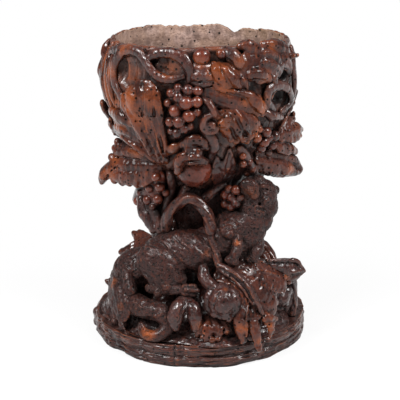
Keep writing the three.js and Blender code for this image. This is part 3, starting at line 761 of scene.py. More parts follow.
mound = {
    "around": 300, "rows": 60, "profile": ((49, 11.2), (45.5, 14.6), (43.5, 18.2), (30, 27.8), (19, 33.3)),
    "swells": ((0.04, 3, 0.6), (0.025, 8, 0)),  # share of the radius, count and start of a wave
    "apron": (3.4, 2.5, 0, 0, 0), "front": (0.2, 0.75),  # how far the front reaches out, and where it starts
    "lumps": ((1.3, 9, 40), (0.6, 2.6, 41)), "pits": (0.7, 1.4, 42), "pitFrom": (0, 0.5),
    "hollows": ((189, 279, 40, 6, 5), (145, 287, 36, 5, 4)),  # pixels, distance from the axis, reach, depth
    "hollowFade": (0.4, 1.6), "footFade": 0.06,
    "out": 0.6, "up": 0.7,  # shares of a lump that go out and up
}


def stretchedNoise(spots, stretch, layer):
    return lumpy(spots * stretch, layer)


def makePlinth():
    angle = wholeTurn(plinth["around"])
    height = np.linspace(0, cup["plinthHeight"], plinth["sideRows"])[:, None]
    radius = np.full_like(height * angle, cup["plinthRadius"] - plinth["bandDepth"])
    for k, (middle, half) in enumerate(plinth["bands"]):
        sway, swell = (lumpy(ringPoint(angle, ring, 0.0), (depth, size, seed + k))
                       for ring, depth, size, seed in (plinth["sway"], plinth["swell"]))
        across = np.clip((height - middle - sway) / (half * (1 + swell)), -1, 1)
        depth = plinth["bandDepth"] * (1 - np.sqrt(1 - across ** 2))
        radius = np.maximum(radius, cup["plinthRadius"] - depth)
    spots = ringPoint(angle, radius, height)
    bark = stretchedNoise(spots, *plinth["coarse"]) + stretchedNoise(spots, *plinth["fine"])
    knots = smooth(stretchedNoise(spots, *plinth["knotAt"]), *plinth["knotFrom"])
    nicks = smooth(stretchedNoise(spots, *plinth["nickAt"]), *plinth["nickFrom"])
    cut = radius + plinth["bark"] * bark - plinth["knots"] * knots - plinth["nicks"] * nicks - plinth["sunk"]
    radius = np.minimum(cut, cup["plinthRadius"])
    side = ringPoint(angle, radius, height)
    topRadius = radius[-1:] * np.linspace(1, plinth["topInner"], plinth["topRows"])[1:, None]
    spots = ringPoint(angle, topRadius, cup["plinthHeight"])
    lumps = lumpy(spots, *plinth["topLumps"]) - plinth["topSunk"]
    top = ringPoint(angle, topRadius, cup["plinthHeight"] + lumps)
    makePiece("plinth", *wrapped(np.concatenate([side, top])), "plinth_wood")


def makeStump():
    angle = wholeTurn(stump["around"])
    height = np.linspace(stump["heights"][0], stump["heights"][-1], stump["rows"])[:, None]
    radius = np.interp(height, stump["heights"], stump["radii"]) + 0 * angle
    spots = ringPoint(angle, radius, height)
    warp = np.radians(angle) + stump["twist"] * height / stump["twistHeight"] + lumpy(spots, stump["bend"])
    ribs = stump["ribDepth"] * (np.abs(np.sin(stump["ribs"] / 2 * warp)) - stump["ribLevel"])
    bark = stretchedNoise(spots, stump["barkStretch"], stump["bark"]) + lumpy(spots, stump["lumps"])
    makePiece("stump", *wrapped(ringPoint(angle, radius + ribs + bark, height)), "ground_wood")


def makeMound():
    angle = wholeTurn(mound["around"])
    turn = np.radians(angle)
    swell = 1
    for share, count, start in mound["swells"]:
        swell = swell + share * np.sin(count * turn + start)
    radii, heights = np.array(mound["profile"]).T
    share = np.linspace(0, 1, mound["rows"])[:, None]
    toFront = smooth(np.cos(turn), *mound["front"])
    radius = spread(radii, share) * swell + spread(mound["apron"], share) * toFront
    height = spread(heights, share) + 0 * angle
    spots = ringPoint(angle, radius, height)
    depth, size, seed = mound["pits"]
    lumps = lumpy(spots, *mound["lumps"]) - depth * smooth(noise(spots, size, seed), *mound["pitFrom"])
    near, far = mound["hollowFade"]
    for *spot, reach, depth in mound["hollows"]:
        away = np.linalg.norm(spots - depthAt([spot])[0], axis=-1)
        lumps = lumps - depth * (1 - smooth(away, near * reach, far * reach))
    lumps = lumps * smooth(share, 0, mound["footFade"])
    points = ringPoint(angle, radius + mound["out"] * lumps, height + mound["up"] * lumps)
    makePiece("mound", *wrapped(points), "ground_wood")


makePlinth()
makeStump()
makeMound()
print("plinth, stump and mound done")


# The beast: blobs and limbs over the mound, with hatched fur on its flanks and stippled skin elsewhere
coat = {
    "run": (0.78, 0.1, -0.62), "length": 6.5, "width": 0.95, "thick": 2.5, "hairs": (0.5, 1, 51),
    "bend": (1.6, 9, 50), "flank": (-36, -26), "rumpPits": 0.5, "flankPits": 0.32, "pitSize": 1.5,
}
skin = {"pitSeed": 53, "pitFrom": (0.05, 0.5), "lumps": (0.2, 3, 54)}
hair = {"pits": (0.28, 0.95), "stretch": (1, 1, 0.4), "cuts": (0.16, 0.9, 56)}


def fur(points):
    along = unit(np.array(coat["run"]))
    across = unit(np.cross(along, [0, 1, 0]))
    out = np.cross(along, across)
    bent = points + lumpy(points, coat["bend"])[:, None] * across
    ways = ((along, coat["length"]), (across, coat["width"]), (out, coat["thick"]))
    hairs = np.stack([bent @ way / size for way, size in ways], -1)
    flank = smooth(points[:, 0], *coat["flank"])
    pits = stipple(points, coat["rumpPits"] - coat["flankPits"] * flank, coat["pitSize"])
    return lumpy(hairs, coat["hairs"]) * flank + pits


def stipple(points, depth, size):
    pits = smooth(noise(points, size, skin["pitSeed"]), *skin["pitFrom"])
    return lumpy(points, skin["lumps"]) - depth * pits


def shag(points):
    # short rough hair
    return stipple(points, *hair["pits"]) + lumpy(points * hair["stretch"], hair["cuts"])


# Blobs have a place on the mound, half sizes and turns; gaps have pixels, distance from the axis and radius
blobSoft = 3.0
beastBody = {
    "blobs": [
        ((-9, -29, 38.5), (20, 10, 11), (0, -8, -18)), ((-31, -19, 27), (13, 11, 10), (0, -25, -30)),
        ((-37, -14, 17), (8, 9, 11), (0, 0, 0)), ((17, -28, 46), (14, 10, 14), (0, -30, 20)),
        ((13, -36, 49), (6, 4, 8), (0, 20, 10)),
    ],
    "spine": [(-38, -18, 25), (-28, -22, 34.5), (-14, -27, 43.5), (4, -28, 49.5)],
    "spineRadii": (2, 2.4, 2.4, 1.8), "spineSoft": 2.5,
    "gaps": [(145, 285, 31, 4.2), (189, 277, 36, 4.5)], "gapSoft": 1.5,
}
beastThigh = [((-19, -33.5, 34), (12, 8, 10), (0, 25, -12)), ((-15, -36.5, 27), (9, 6, 7), (0, 15, -8))]
beastTail = {
    "path": [
        (-38, -18, 15), (-35, -28, 14), (-28, -37, 13.5), (-19, -43, 13),
        (-15, -46, 8), (-20, -48, 3.5), (-26, -47, 4), (-28, -46, 8),
    ],
    "radii": (6, 6, 5.4, 4.6, 3.6, 3, 2.6, 1.6), "soft": 1,
    "roughFrom": (17, 22), "pits": (0.6, 1.6), "smoothed": (0.06, 2, 55),
}
beastRead = {
    "beast_head": {
        "balls": [
            (250, 192, 27, 7), (262, 194, 26, 7.4), (268, 192, 24.5, 4.6), (275, 190, 23, 2.2),
            (264, 206, 26, 7), (254, 207, 28, 7.6), (259.5, 219, 27, 6.5), (250, 222, 29, 8),
            (254, 232, 29, 5.8), (246, 236, 30.5, 7), (270, 203, 24.5, 3), (271, 212, 24, 2.2),
            (258, 183, 26.5, 4), (249, 184, 27, 3.6), (236, 226, 31, 7.5), (249, 191, 30.5, 4.2),
            (263.5, 200, 31, 3.6), (267, 203, 29.5, 3.2), (259.5, 203, 31.5, 2.6), (261.7, 192, 32.4, 1.2),
        ],
        "ribs": [
            ([(243, 189, 33), (244, 183.5, 34.5), (250, 182.5, 35.5), (255, 187, 36), (256.5, 194, 35.5),
              (255, 199, 34.5)], (1.3, 1.6, 1.8, 1.8, 1.6, 1.1)),
            ([(247, 187, 35.5), (251, 191, 36.5), (254.5, 196, 36)], (1.5, 2, 1.5)),
            ([(258, 188, 33), (263, 186.5, 32.5), (268, 187.5, 30.5), (273, 190, 27)], (1.1, 1.4, 1.3, 1)),
        ],
        "grooves": [
            ([(241, 190, 34), (246, 196, 34), (251, 200, 34.5), (254.5, 202, 34)], (1.2, 1.7, 1.5, 0.8)),
            ([(259, 191, 33.6), (261.5, 189.6, 33.6), (264.5, 191, 33.2), (262, 193.6, 33.8),
              (259, 192, 33.6)], (0.5, 0.5, 0.5, 0.5, 0.5)),
            ([(270.5, 193, 28.6), (272, 193.5, 27.6)], (0.9, 0.9)),
            ([(259.3, 203.7, 35.5), (259.5, 204.2, 33)], (0.55, 0.55)),
            ([(256, 208, 36), (262, 209.5, 34.2), (268, 209, 33.6), (273, 207, 32)], (0.6, 0.8, 0.8, 0.6)),
            ([(266, 189, 32.4), (271, 192, 28.8), (273, 197, 26.4)], (0.5, 0.7, 0.5)),
        ],
    },
    "beast_hind_foot": {
        "ribs": [
            ([(150, 288, 36.6), (165, 289, 40), (178, 290, 41.6), (188, 290, 42.2)], (2.6, 3, 2.6, 2.2)),
            ([(184, 287, 43.5), (195, 286, 43.5)], (1.5, 1.2)),
            ([(186, 290, 44.5), (198, 290.5, 44)], (1.5, 1.2)),
            ([(184, 293.5, 44), (194, 295, 43.5)], (1.5, 1.1)),
        ],
        "grooves": [
            ([(155, 287, 42), (166, 287.5, 45), (178, 287, 46)], (0.4, 0.6, 0.4)),
            ([(157, 291, 42.5), (168, 292, 45), (182, 292, 46)], (0.4, 0.6, 0.4)),
        ],
        "balls": [(167, 288, 42, 2.6), (158, 293, 41, 2.4)],
    },
    "beast_near_foreleg": {
        "ribs": [([(236, 238, 38.4), (238, 246, 40.6), (234, 258, 42.6)], (2.8, 2.7, 2.5))],
        "lobes": [([(236, 239, 39.6), (237, 243, 41.2)], (2.2, 2))],
        "grooves": [([(240, 247, 44), (238, 254, 45.4), (235, 261, 46)], (0.4, 0.6, 0.5))],
        "balls": [
            (224, 231, 39.5, 2.6), (230, 234, 40.5, 2.4), (229, 228, 38.5, 2.2), (229, 260, 43, 2),
            (235, 262, 43.5, 2),
        ],
    },
    "beast_far_foreleg": {
        "ribs": [([(255, 237, 29), (256, 248, 32), (252, 258, 35)], (4.4, 3.8, 3))],
        "balls": [(248, 260, 36, 2.2), (255, 261, 35.5, 2.2)],
    },
}
rumpFolds = {
    "rump_folds": {
        "sheets": [([(114, 275, 18), (118, 292, 28), (123, 312, 36)], (4, 7, 5))],
        "ribs": [
            ([(115, 274, 19), (117, 290, 28), (121, 314, 36.5)], (1.4, 2.2, 1.2)),
            ([(119, 278, 24), (121, 295, 32), (126, 314, 38)], (1.2, 2, 1.2)),
            ([(111, 280, 13), (112.5, 296, 22), (116, 316, 32)], (1.4, 2.2, 1.6)),
            ([(124, 284, 29), (126, 299, 35), (130, 312, 38.5)], (1, 1.8, 1.2)),
            ([(125, 266, 24), (129, 278, 28.5), (131, 291, 33)], (2.6, 3.4, 3)),
        ],
    },
}


def blobs(rows):
    return [ball(onMound(at), size, turn, blobSoft) for at, size, turn in rows]


def tailSkin(points):
    # stippled where the tail is thick, smooth at its curled tip
    rough = smooth(points[:, 2], *beastTail["roughFrom"])
    return stipple(points, *beastTail["pits"]) * rough + lumpy(points, beastTail["smoothed"]) * (1 - rough)


def makeBeast():
    body = blobs(beastBody["blobs"])
    body.append(stroke(onMound(beastBody["spine"]), beastBody["spineRadii"], beastBody["spineSoft"]))
    for *spot, radius in beastBody["gaps"]:
        body.append(ball(depthAt([spot])[0], radius, soft=beastBody["gapSoft"], dig=True))
    carve("beast_body", body, "beast_wood", fur, voxels["fur"])
    carve("beast_thigh", blobs(beastThigh), "beast_wood", fur, voxels["fur"])
    tail = stroke(onMound(beastTail["path"]), beastTail["radii"], beastTail["soft"])
    carve("beast_tail", [tail], "beast_wood", tailSkin)
    carveRead(beastRead, "beast_wood", depthAt, moundFace, shag)
    carveRead(rumpFolds, "beast_wood", depthAt, moundFace, tooled(depth=0.3))


makeBeast()
print("beast done")

# Roots, stones and fallen growth on the mound
groundTubes = {
    "vine_arch": (
        [(-17, -25, 47), (-14, -28, 59), (-5, -31, 66), (3, -34, 60), (6, -37, 49)],
        (3, 2.6, 2.7, 2.6, 2.8)),
    "right_twig": (
        [(44.5, -23.5, 28), (46.3, -18, 20), (47.3, -14, 11), (47.3, -13, 5), (45.5, -16, -1)],
        (1.9, 1.8, 1.8, 1.9, 2.1)),
    "flank_strap": ([(5, -35, 54), (6, -36, 49), (7.6, -38.2, 42), (9, -41.5, 35)], (2.2, 2.4, 2, 1.7)),
}
groundRead = {
    "fallen_branch": {
        "lobes": [
            ([(243, 261, 36), (258, 263, 33), (275, 265, 29.5), (288, 266.5, 26.5), (296, 267.5, 24.5)],
             (1.6, 2.2, 3, 3.6, 3)),
            ([(278, 270, 27.5), (288, 272, 26), (298, 271.5, 23.5)], (2.4, 3.2, 2.2)),
        ],
        "ribs": [
            ([(284, 272, 29.5), (294, 271.5, 28), (303, 270.5, 24.5)], (1, 1.2, 0.9)),
            ([(284, 279, 28), (293, 278, 26.5), (303, 271.5, 23.5)], (1, 1.3, 0.9)),
            ([(285, 283, 26), (292, 281, 25), (299, 276, 23.5)], (1, 1.1, 0.8)),
            ([(268, 260.5, 33), (282, 260.3, 30), (296, 260.5, 26.5), (300, 264.5, 25.5), (304, 270.5, 24)],
             (0.8, 1.1, 1.1, 1, 0.9)),
        ],
        "grooves": [
            ([(246, 263, 38.6), (262, 265, 36.6), (278, 267, 33.4), (292, 268, 30)], (0.9, 1.5, 1.5, 0.9)),
            ([(286, 275.5, 31), (294, 275, 30), (301, 272.5, 27.5)], (0.4, 0.6, 0.5)),
        ],
    },
    "leaf_stalk": {
        "ribs": [
            ([(219, 265, 42), (233, 273, 46), (245, 284, 48), (254, 298, 49.5), (263, 314, 49)],
             (1.6, 1.5, 1.4, 1.3, 1)),
            ([(222, 271, 43), (234, 279, 46.6), (245, 291, 48.6), (253, 304, 49.6)], (1, 1.1, 1.1, 0.8)),
            ([(228, 266, 42), (240, 275, 45.5), (250, 286, 47), (258, 300, 48)], (0.8, 0.9, 0.9, 0.7)),
        ],
        "lobes": [([(220, 268, 41), (234, 276, 44.5), (245, 287, 46.5), (254, 301, 47.5)], (2, 2, 2, 1.6))],
        "grooves": [
            ([(220, 268.5, 43.6), (233.5, 276, 47), (245, 287.5, 49), (253, 301, 50)],
             (0.6, 0.9, 0.9, 0.6)),
        ],
    },
    "burl": {
        "lobes": [
            ([(221, 288, 45), (213, 297, 47.5), (208, 306, 47)], (2.4, 3.8, 2.6)),
            ([(221, 288, 46), (218, 300, 50), (216, 312, 49.5)], (2.5, 4.2, 2.8)),
            ([(223, 288, 46.5), (226, 300, 51.5), (226, 314, 50.5)], (2.6, 4.4, 2.8)),
            ([(225, 288, 46), (233, 299, 50), (236, 312, 49)], (2.4, 4, 2.6)),
            ([(226, 288, 45), (236, 293, 47), (241, 303, 46.5)], (2, 3, 2)),
        ],
        "ribs": [([(203, 268, 38.5), (205, 279, 42.5), (213, 287, 45)], (2.6, 3, 2.8))],
        "balls": [
            (223, 301, 48, 7), (212, 311, 48, 1.9), (220, 316, 49.5, 1.9), (229, 318, 50, 2),
            (236, 316, 49, 1.8),
        ],
        "grooves": [
            ([(220, 292, 51), (216, 301, 53.6), (212, 309, 53)], (0.4, 0.6, 0.5)),
            ([(223, 291, 52), (222, 302, 55.8), (221, 315, 55)], (0.4, 0.6, 0.5)),
            ([(226, 291, 52), (230, 301, 55.6), (231, 315, 54.6)], (0.4, 0.6, 0.5)),
        ],
    },
    "root_fork": {
        "ribs": [
            ([(185, 299, 43), (179, 307, 47), (175, 317, 48.5), (175, 326, 48.5)], (2.6, 3.8, 4, 2.6)),
            ([(186, 300, 43), (193, 308, 47.5), (195, 318, 49), (196, 328, 49)], (2.4, 3.2, 3.4, 2.3)),
        ],
        "balls": [(182, 308, 47.5, 2.4), (176, 316, 50, 2.6), (194, 313, 49.5, 2.4), (197, 327, 50, 1.8)],
        "grooves": [([(186, 303, 48), (181, 312, 51), (179, 322, 51.6)], (0.5, 0.7, 0.6))],
    },
    "right_stone": {
        "balls": [
            (280, 297, 24, 5), (286, 291, 22, 3), (274, 291, 26, 3.2), (284, 302, 23, 2.6),
            (275, 301, 26, 2.6), (277, 305, 22, 4),
        ],
        "lobes": [([(283, 281, 18), (289.5, 286, 15), (290, 295, 13), (285, 310, 14)], (2.6, 3.6, 3.2, 3))],
    },
    "left_scroll": {
        "lobes": [
            ([(97, 314, 4), (101, 322, 13), (110, 328, 22)], (2.4, 3, 2.2)),
            ([(99, 328, 12), (107, 334, 21), (119, 336, 29)], (2, 2.8, 2)),
        ],
        "ribs": [
            ([(104, 334, 22), (114, 331, 29), (125, 329, 34)], (1, 1.5, 1)),
            ([(100, 318, 10), (106, 316, 16), (110, 321, 20), (105, 326, 17), (101, 322, 13)],
             (0.9, 1.2, 1.2, 1.1, 0.8)),
        ],
        "balls": [
            (98, 311, 3, 2.6), (103, 327, 17, 2.6), (98, 321, 8, 2.4), (112, 341, 29, 2),
            (121, 342, 34, 2.2), (130, 344, 38, 2), (106, 321, 17, 1.6), (116, 322, 25, 2.4),
            (124, 325, 31, 2.6), (128, 335, 35, 2.4), (118, 331, 29, 2.2),
        ],
    },
}
groundLeavesRead = {
    "front_leaf": {
        "sheets": [
            ([(257, 304, 43), (252, 316, 46), (251, 330, 48)], (4, 6.5, 5)),
            ([(243, 294, 45), (246, 308, 47), (248, 322, 48.5)], (4, 6, 5)),
        ],
        "lobes": [
            ([(243, 295, 45.5), (242, 309, 49), (241, 325, 50.5), (243, 341, 51)], (2.2, 3.2, 3.8, 1.8)),
            ([(253, 304, 46), (253, 318, 49), (255, 332, 50.5), (259, 349, 51.5)], (2, 2.8, 2.9, 1.6)),
            ([(259, 306, 43.5), (266, 317, 46.5), (271, 325, 47.5), (270, 336, 47.5)], (2, 2.8, 2.4, 1)),
        ],
        "ribs": [
            ([(249, 300, 48), (247, 316, 52), (246, 336, 53)], (0.6, 0.9, 0.7)),
            ([(262, 312, 46.5), (268, 317, 49), (276, 319, 46)], (1.3, 1.7, 1.2)),
        ],
        "balls": [(259, 316, 48, 1.6), (265, 319, 49, 1.7), (271, 318, 48.5, 1.7)],
        "grooves": [
            ([(250, 308, 51), (249, 324, 53.6), (250, 338, 54)], (0.5, 0.8, 0.7)),
            ([(242, 304, 52), (241, 320, 54.6), (242, 334, 54.4)], (0.4, 0.6, 0.5)),
        ],
    },
    "shelf_leaf": {
        "sheets": [
            ([(234, 270, 40), (250, 281, 42.5), (264, 297, 42), (270, 309, 41)], (4, 8, 8, 4)),
            ([(244, 268, 37), (262, 275, 37.5), (280, 283, 33)], (4, 7, 5)),
            ([(221, 277, 40), (236, 287, 44), (246, 301, 46)], (4, 6, 5)),
        ],
        "lobes": [
            ([(256, 296, 43), (264, 304, 42.5), (270, 310, 41)], (2.4, 3.2, 2.2)),
            ([(254, 286, 43), (266, 294, 41), (275, 302, 37)], (2.4, 3.4, 2.2)),
            ([(256, 274, 38.4), (270, 279, 35.4), (282, 282, 31.4)], (1.8, 2.6, 1.8)),
        ],
        "ribs": [
            ([(222, 277, 42), (236, 287, 46), (245, 299, 48.4), (247, 311, 50)], (0.9, 1.2, 1.2, 0.9)),
            ([(218, 281, 43), (231, 285, 46), (240, 294, 48), (243, 305, 49.4)], (0.8, 1.1, 1.1, 0.8)),
            ([(246, 269, 40), (262, 271, 38), (278, 275, 33)], (0.9, 1.1, 0.9)),
        ],
        "balls": [(283, 276, 28, 2.6), (288, 281, 26, 2), (268, 313, 42, 1.6), (262, 312, 43.5, 1.6)],
    },
    "low_leaf": {
        "lobes": [
            ([(208, 317, 44), (201, 326, 48.5), (198, 334, 49.5)], (2, 3, 1.8)),
            ([(209, 317, 44), (208, 328, 50), (206, 339, 51.5)], (2, 3.2, 1.8)),
            ([(211, 317, 44), (217, 328, 49.5), (219, 337, 50.5)], (2, 3.2, 1.8)),
            ([(212, 317, 44), (224, 324, 47.5), (229, 331, 48.5)], (1.8, 2.4, 1.4)),
        ],
        "balls": [(203, 337, 51.5, 1.5), (212, 340, 52.5, 1.6), (218, 339, 51.8, 1.5), (227, 332, 49.5, 1.5)],
    },
}
stumpVine = {
    "turns": {"left_stump_vine": (-75, -115), "right_stump_vine": (75, 70)},  # start angle and sweep
    "points": 7, "radius": 20.15, "flare": 2, "low": 33, "rise": 44.7, "radii": (3.3, 2.3),
}


def shelfSkin(points):
    return stipple(points, depth=0.36, size=1.4)


def makeGround():
    for node, (path, radii) in groundTubes.items():
        makePiece(node, *vineTube(onMound(path), radii), "ground_wood")
    carveRead(groundRead, "ground_wood", depthAt, moundFace, tooled(depth=0.24, size=1.5))
    carveRead(groundLeavesRead, "leaf_wood", depthAt, moundFace, shelfSkin)
    for node, (start, sweep) in stumpVine["turns"].items():
        k = np.arange(stumpVine["points"])
        last = stumpVine["points"] - 1
        radius = stumpVine["radius"] + stumpVine["flare"] * ((k - last / 2) / (last / 2)) ** 2
        path = ringPoint(start + sweep * k / last, radius, stumpVine["low"] + stumpVine["rise"] * k / last)
        makePiece(node, *vineTube(path, stumpVine["radii"]), "ground_wood")


makeGround()
print("roots and stones done")

# Leaves: lobes are headings from the midrib in degrees and shares of the leaf's length
broad = ((0, 1), (-54, 0.86), (54, 0.86), (-108, 0.6), (108, 0.6))
slim = ((0, 1), (-34, 0.72), (34, 0.72))
# Sheet, finger and cut have places along a lobe, and radii as shares of its length or, for a cut, of groove
blade = {
    "length": 25, "thick": 1.5, "thin": 0.6, "thickest": 1.2, "soft": 0.6, "bend": 0.25, "full": 0.93,
    "sway": (-6, 6), "curl": 1.6, "curls": (-1, 1.2),
    "sheet": ((0.03, 0.35, 0.65, 0.86), (0.1, 0.2, 0.24, 0.13)),
    "fan": (-17, 0, 17), "fanReach": (0.8, 1, 0.8), "fanSizes": (0.9, 1.15), "fingerFlat": 1.3,
    "finger": ((0.08, 0.4, 0.75, 0.95), (0.045, 0.085, 0.105, 0.07)),
    "cut": ((0.3, 0.6, 0.9), (0.6, 1, 0.8)), "cutTurns": (-9, 9), "groove": 0.55, "cutHeight": 0.09,
    "stalk": 6, "stalkIn": 2, "stalkRadii": (1.3, 1), "bedDepth": 2, "bedReach": 3,
}


def bowlLay(angle, level, heading):
    # lays a leaf's plane on the bowl, midrib at a heading from upright
    height = levelHeight(level)
    cosine, sine = np.cos(np.radians(heading)), np.sin(np.radians(heading))

    def lay(across, along, out):
        up = height + along * cosine - across * sine
        turn = angle + np.degrees((along * sine + across * cosine) / bowlRadius(height))
        bedded = blade["bedDepth"] * np.maximum(0, 1 - np.hypot(along, across) / blade["bedReach"])
        return ringPoint(turn, bowlRadius(up) + out + cup["leafGap"] - bedded, up)
    return lay


def planeLay(at, midrib, face):
    # lays a leaf's plane on the mound, along a midrib and facing a direction
    along = unit(np.asarray(midrib, float))
    across = unit(np.cross(along, unit(np.asarray(face, float))))
    out = np.cross(across, along)

    def lay(sideways, forward, above):
        flatPart = np.multiply.outer(sideways, across) + np.multiply.outer(forward, along)
        return onMound(at) + flatPart + np.multiply.outer(above, out)
    return lay


def leafShapes(lay, length, lobes, lift, seed):
    # a carved leaf: each lobe is a thin sheet with three full fingers on it, and cuts between them
    chance = np.random.RandomState(seed)
    scale = length / blade["length"]
    thick = blade["thick"] * (blade["thin"] + (1 - blade["thin"]) * min(scale, blade["thickest"]))
    shapes = []
    cuts = []

    def run(heading, shares, reach, curl, radii, above, flat, dig=False):
        shares = np.asarray(shares)
        turn = np.radians(heading) + blade["bend"] * shares * np.sin(heading + seed)
        across = shares * reach * np.sin(turn)
        along = shares * reach * np.cos(turn)
        up = above + curl * shares ** 3 + lift * np.minimum(np.hypot(across, along) / length, 1) ** 2
        path = lay(across, along, up)
        faces = unit(lay(across, along, up + 0.5) - lay(across, along, up - 0.5))

        def face(points):
            return faces[np.linalg.norm(points[:, None] - path[None], axis=-1).argmin(1)]
        return stroke(path, radii, blade["soft"], dig, face, flat)

    for heading, share in lobes:
        heading = heading + chance.uniform(*blade["sway"])
        reach = length * share * blade["full"]
        curl = blade["curl"] * chance.uniform(*blade["curls"]) * scale
        places, radii = blade["sheet"]
        width = reach * np.array(radii)
        shapes.append(run(heading, places, reach, curl, width, 0, width.max() / thick))
        places, radii = blade["finger"]
        for turn, part in zip(blade["fan"], blade["fanReach"]):
            full = reach * np.array(radii) * chance.uniform(*blade["fanSizes"])
            finger = run(heading + turn, places, reach * part, curl, full, 0.5 * thick, blade["fingerFlat"])
            shapes.append(finger)
        places, radii = blade["cut"]
        for turn in blade["cutTurns"]:
            fine = np.array(radii) * blade["groove"] * scale
            above = 0.5 * thick + blade["cutHeight"] * reach
            cuts.append(run(heading + turn, places, reach, curl, fine, above, 1, True))
    return shapes + cuts


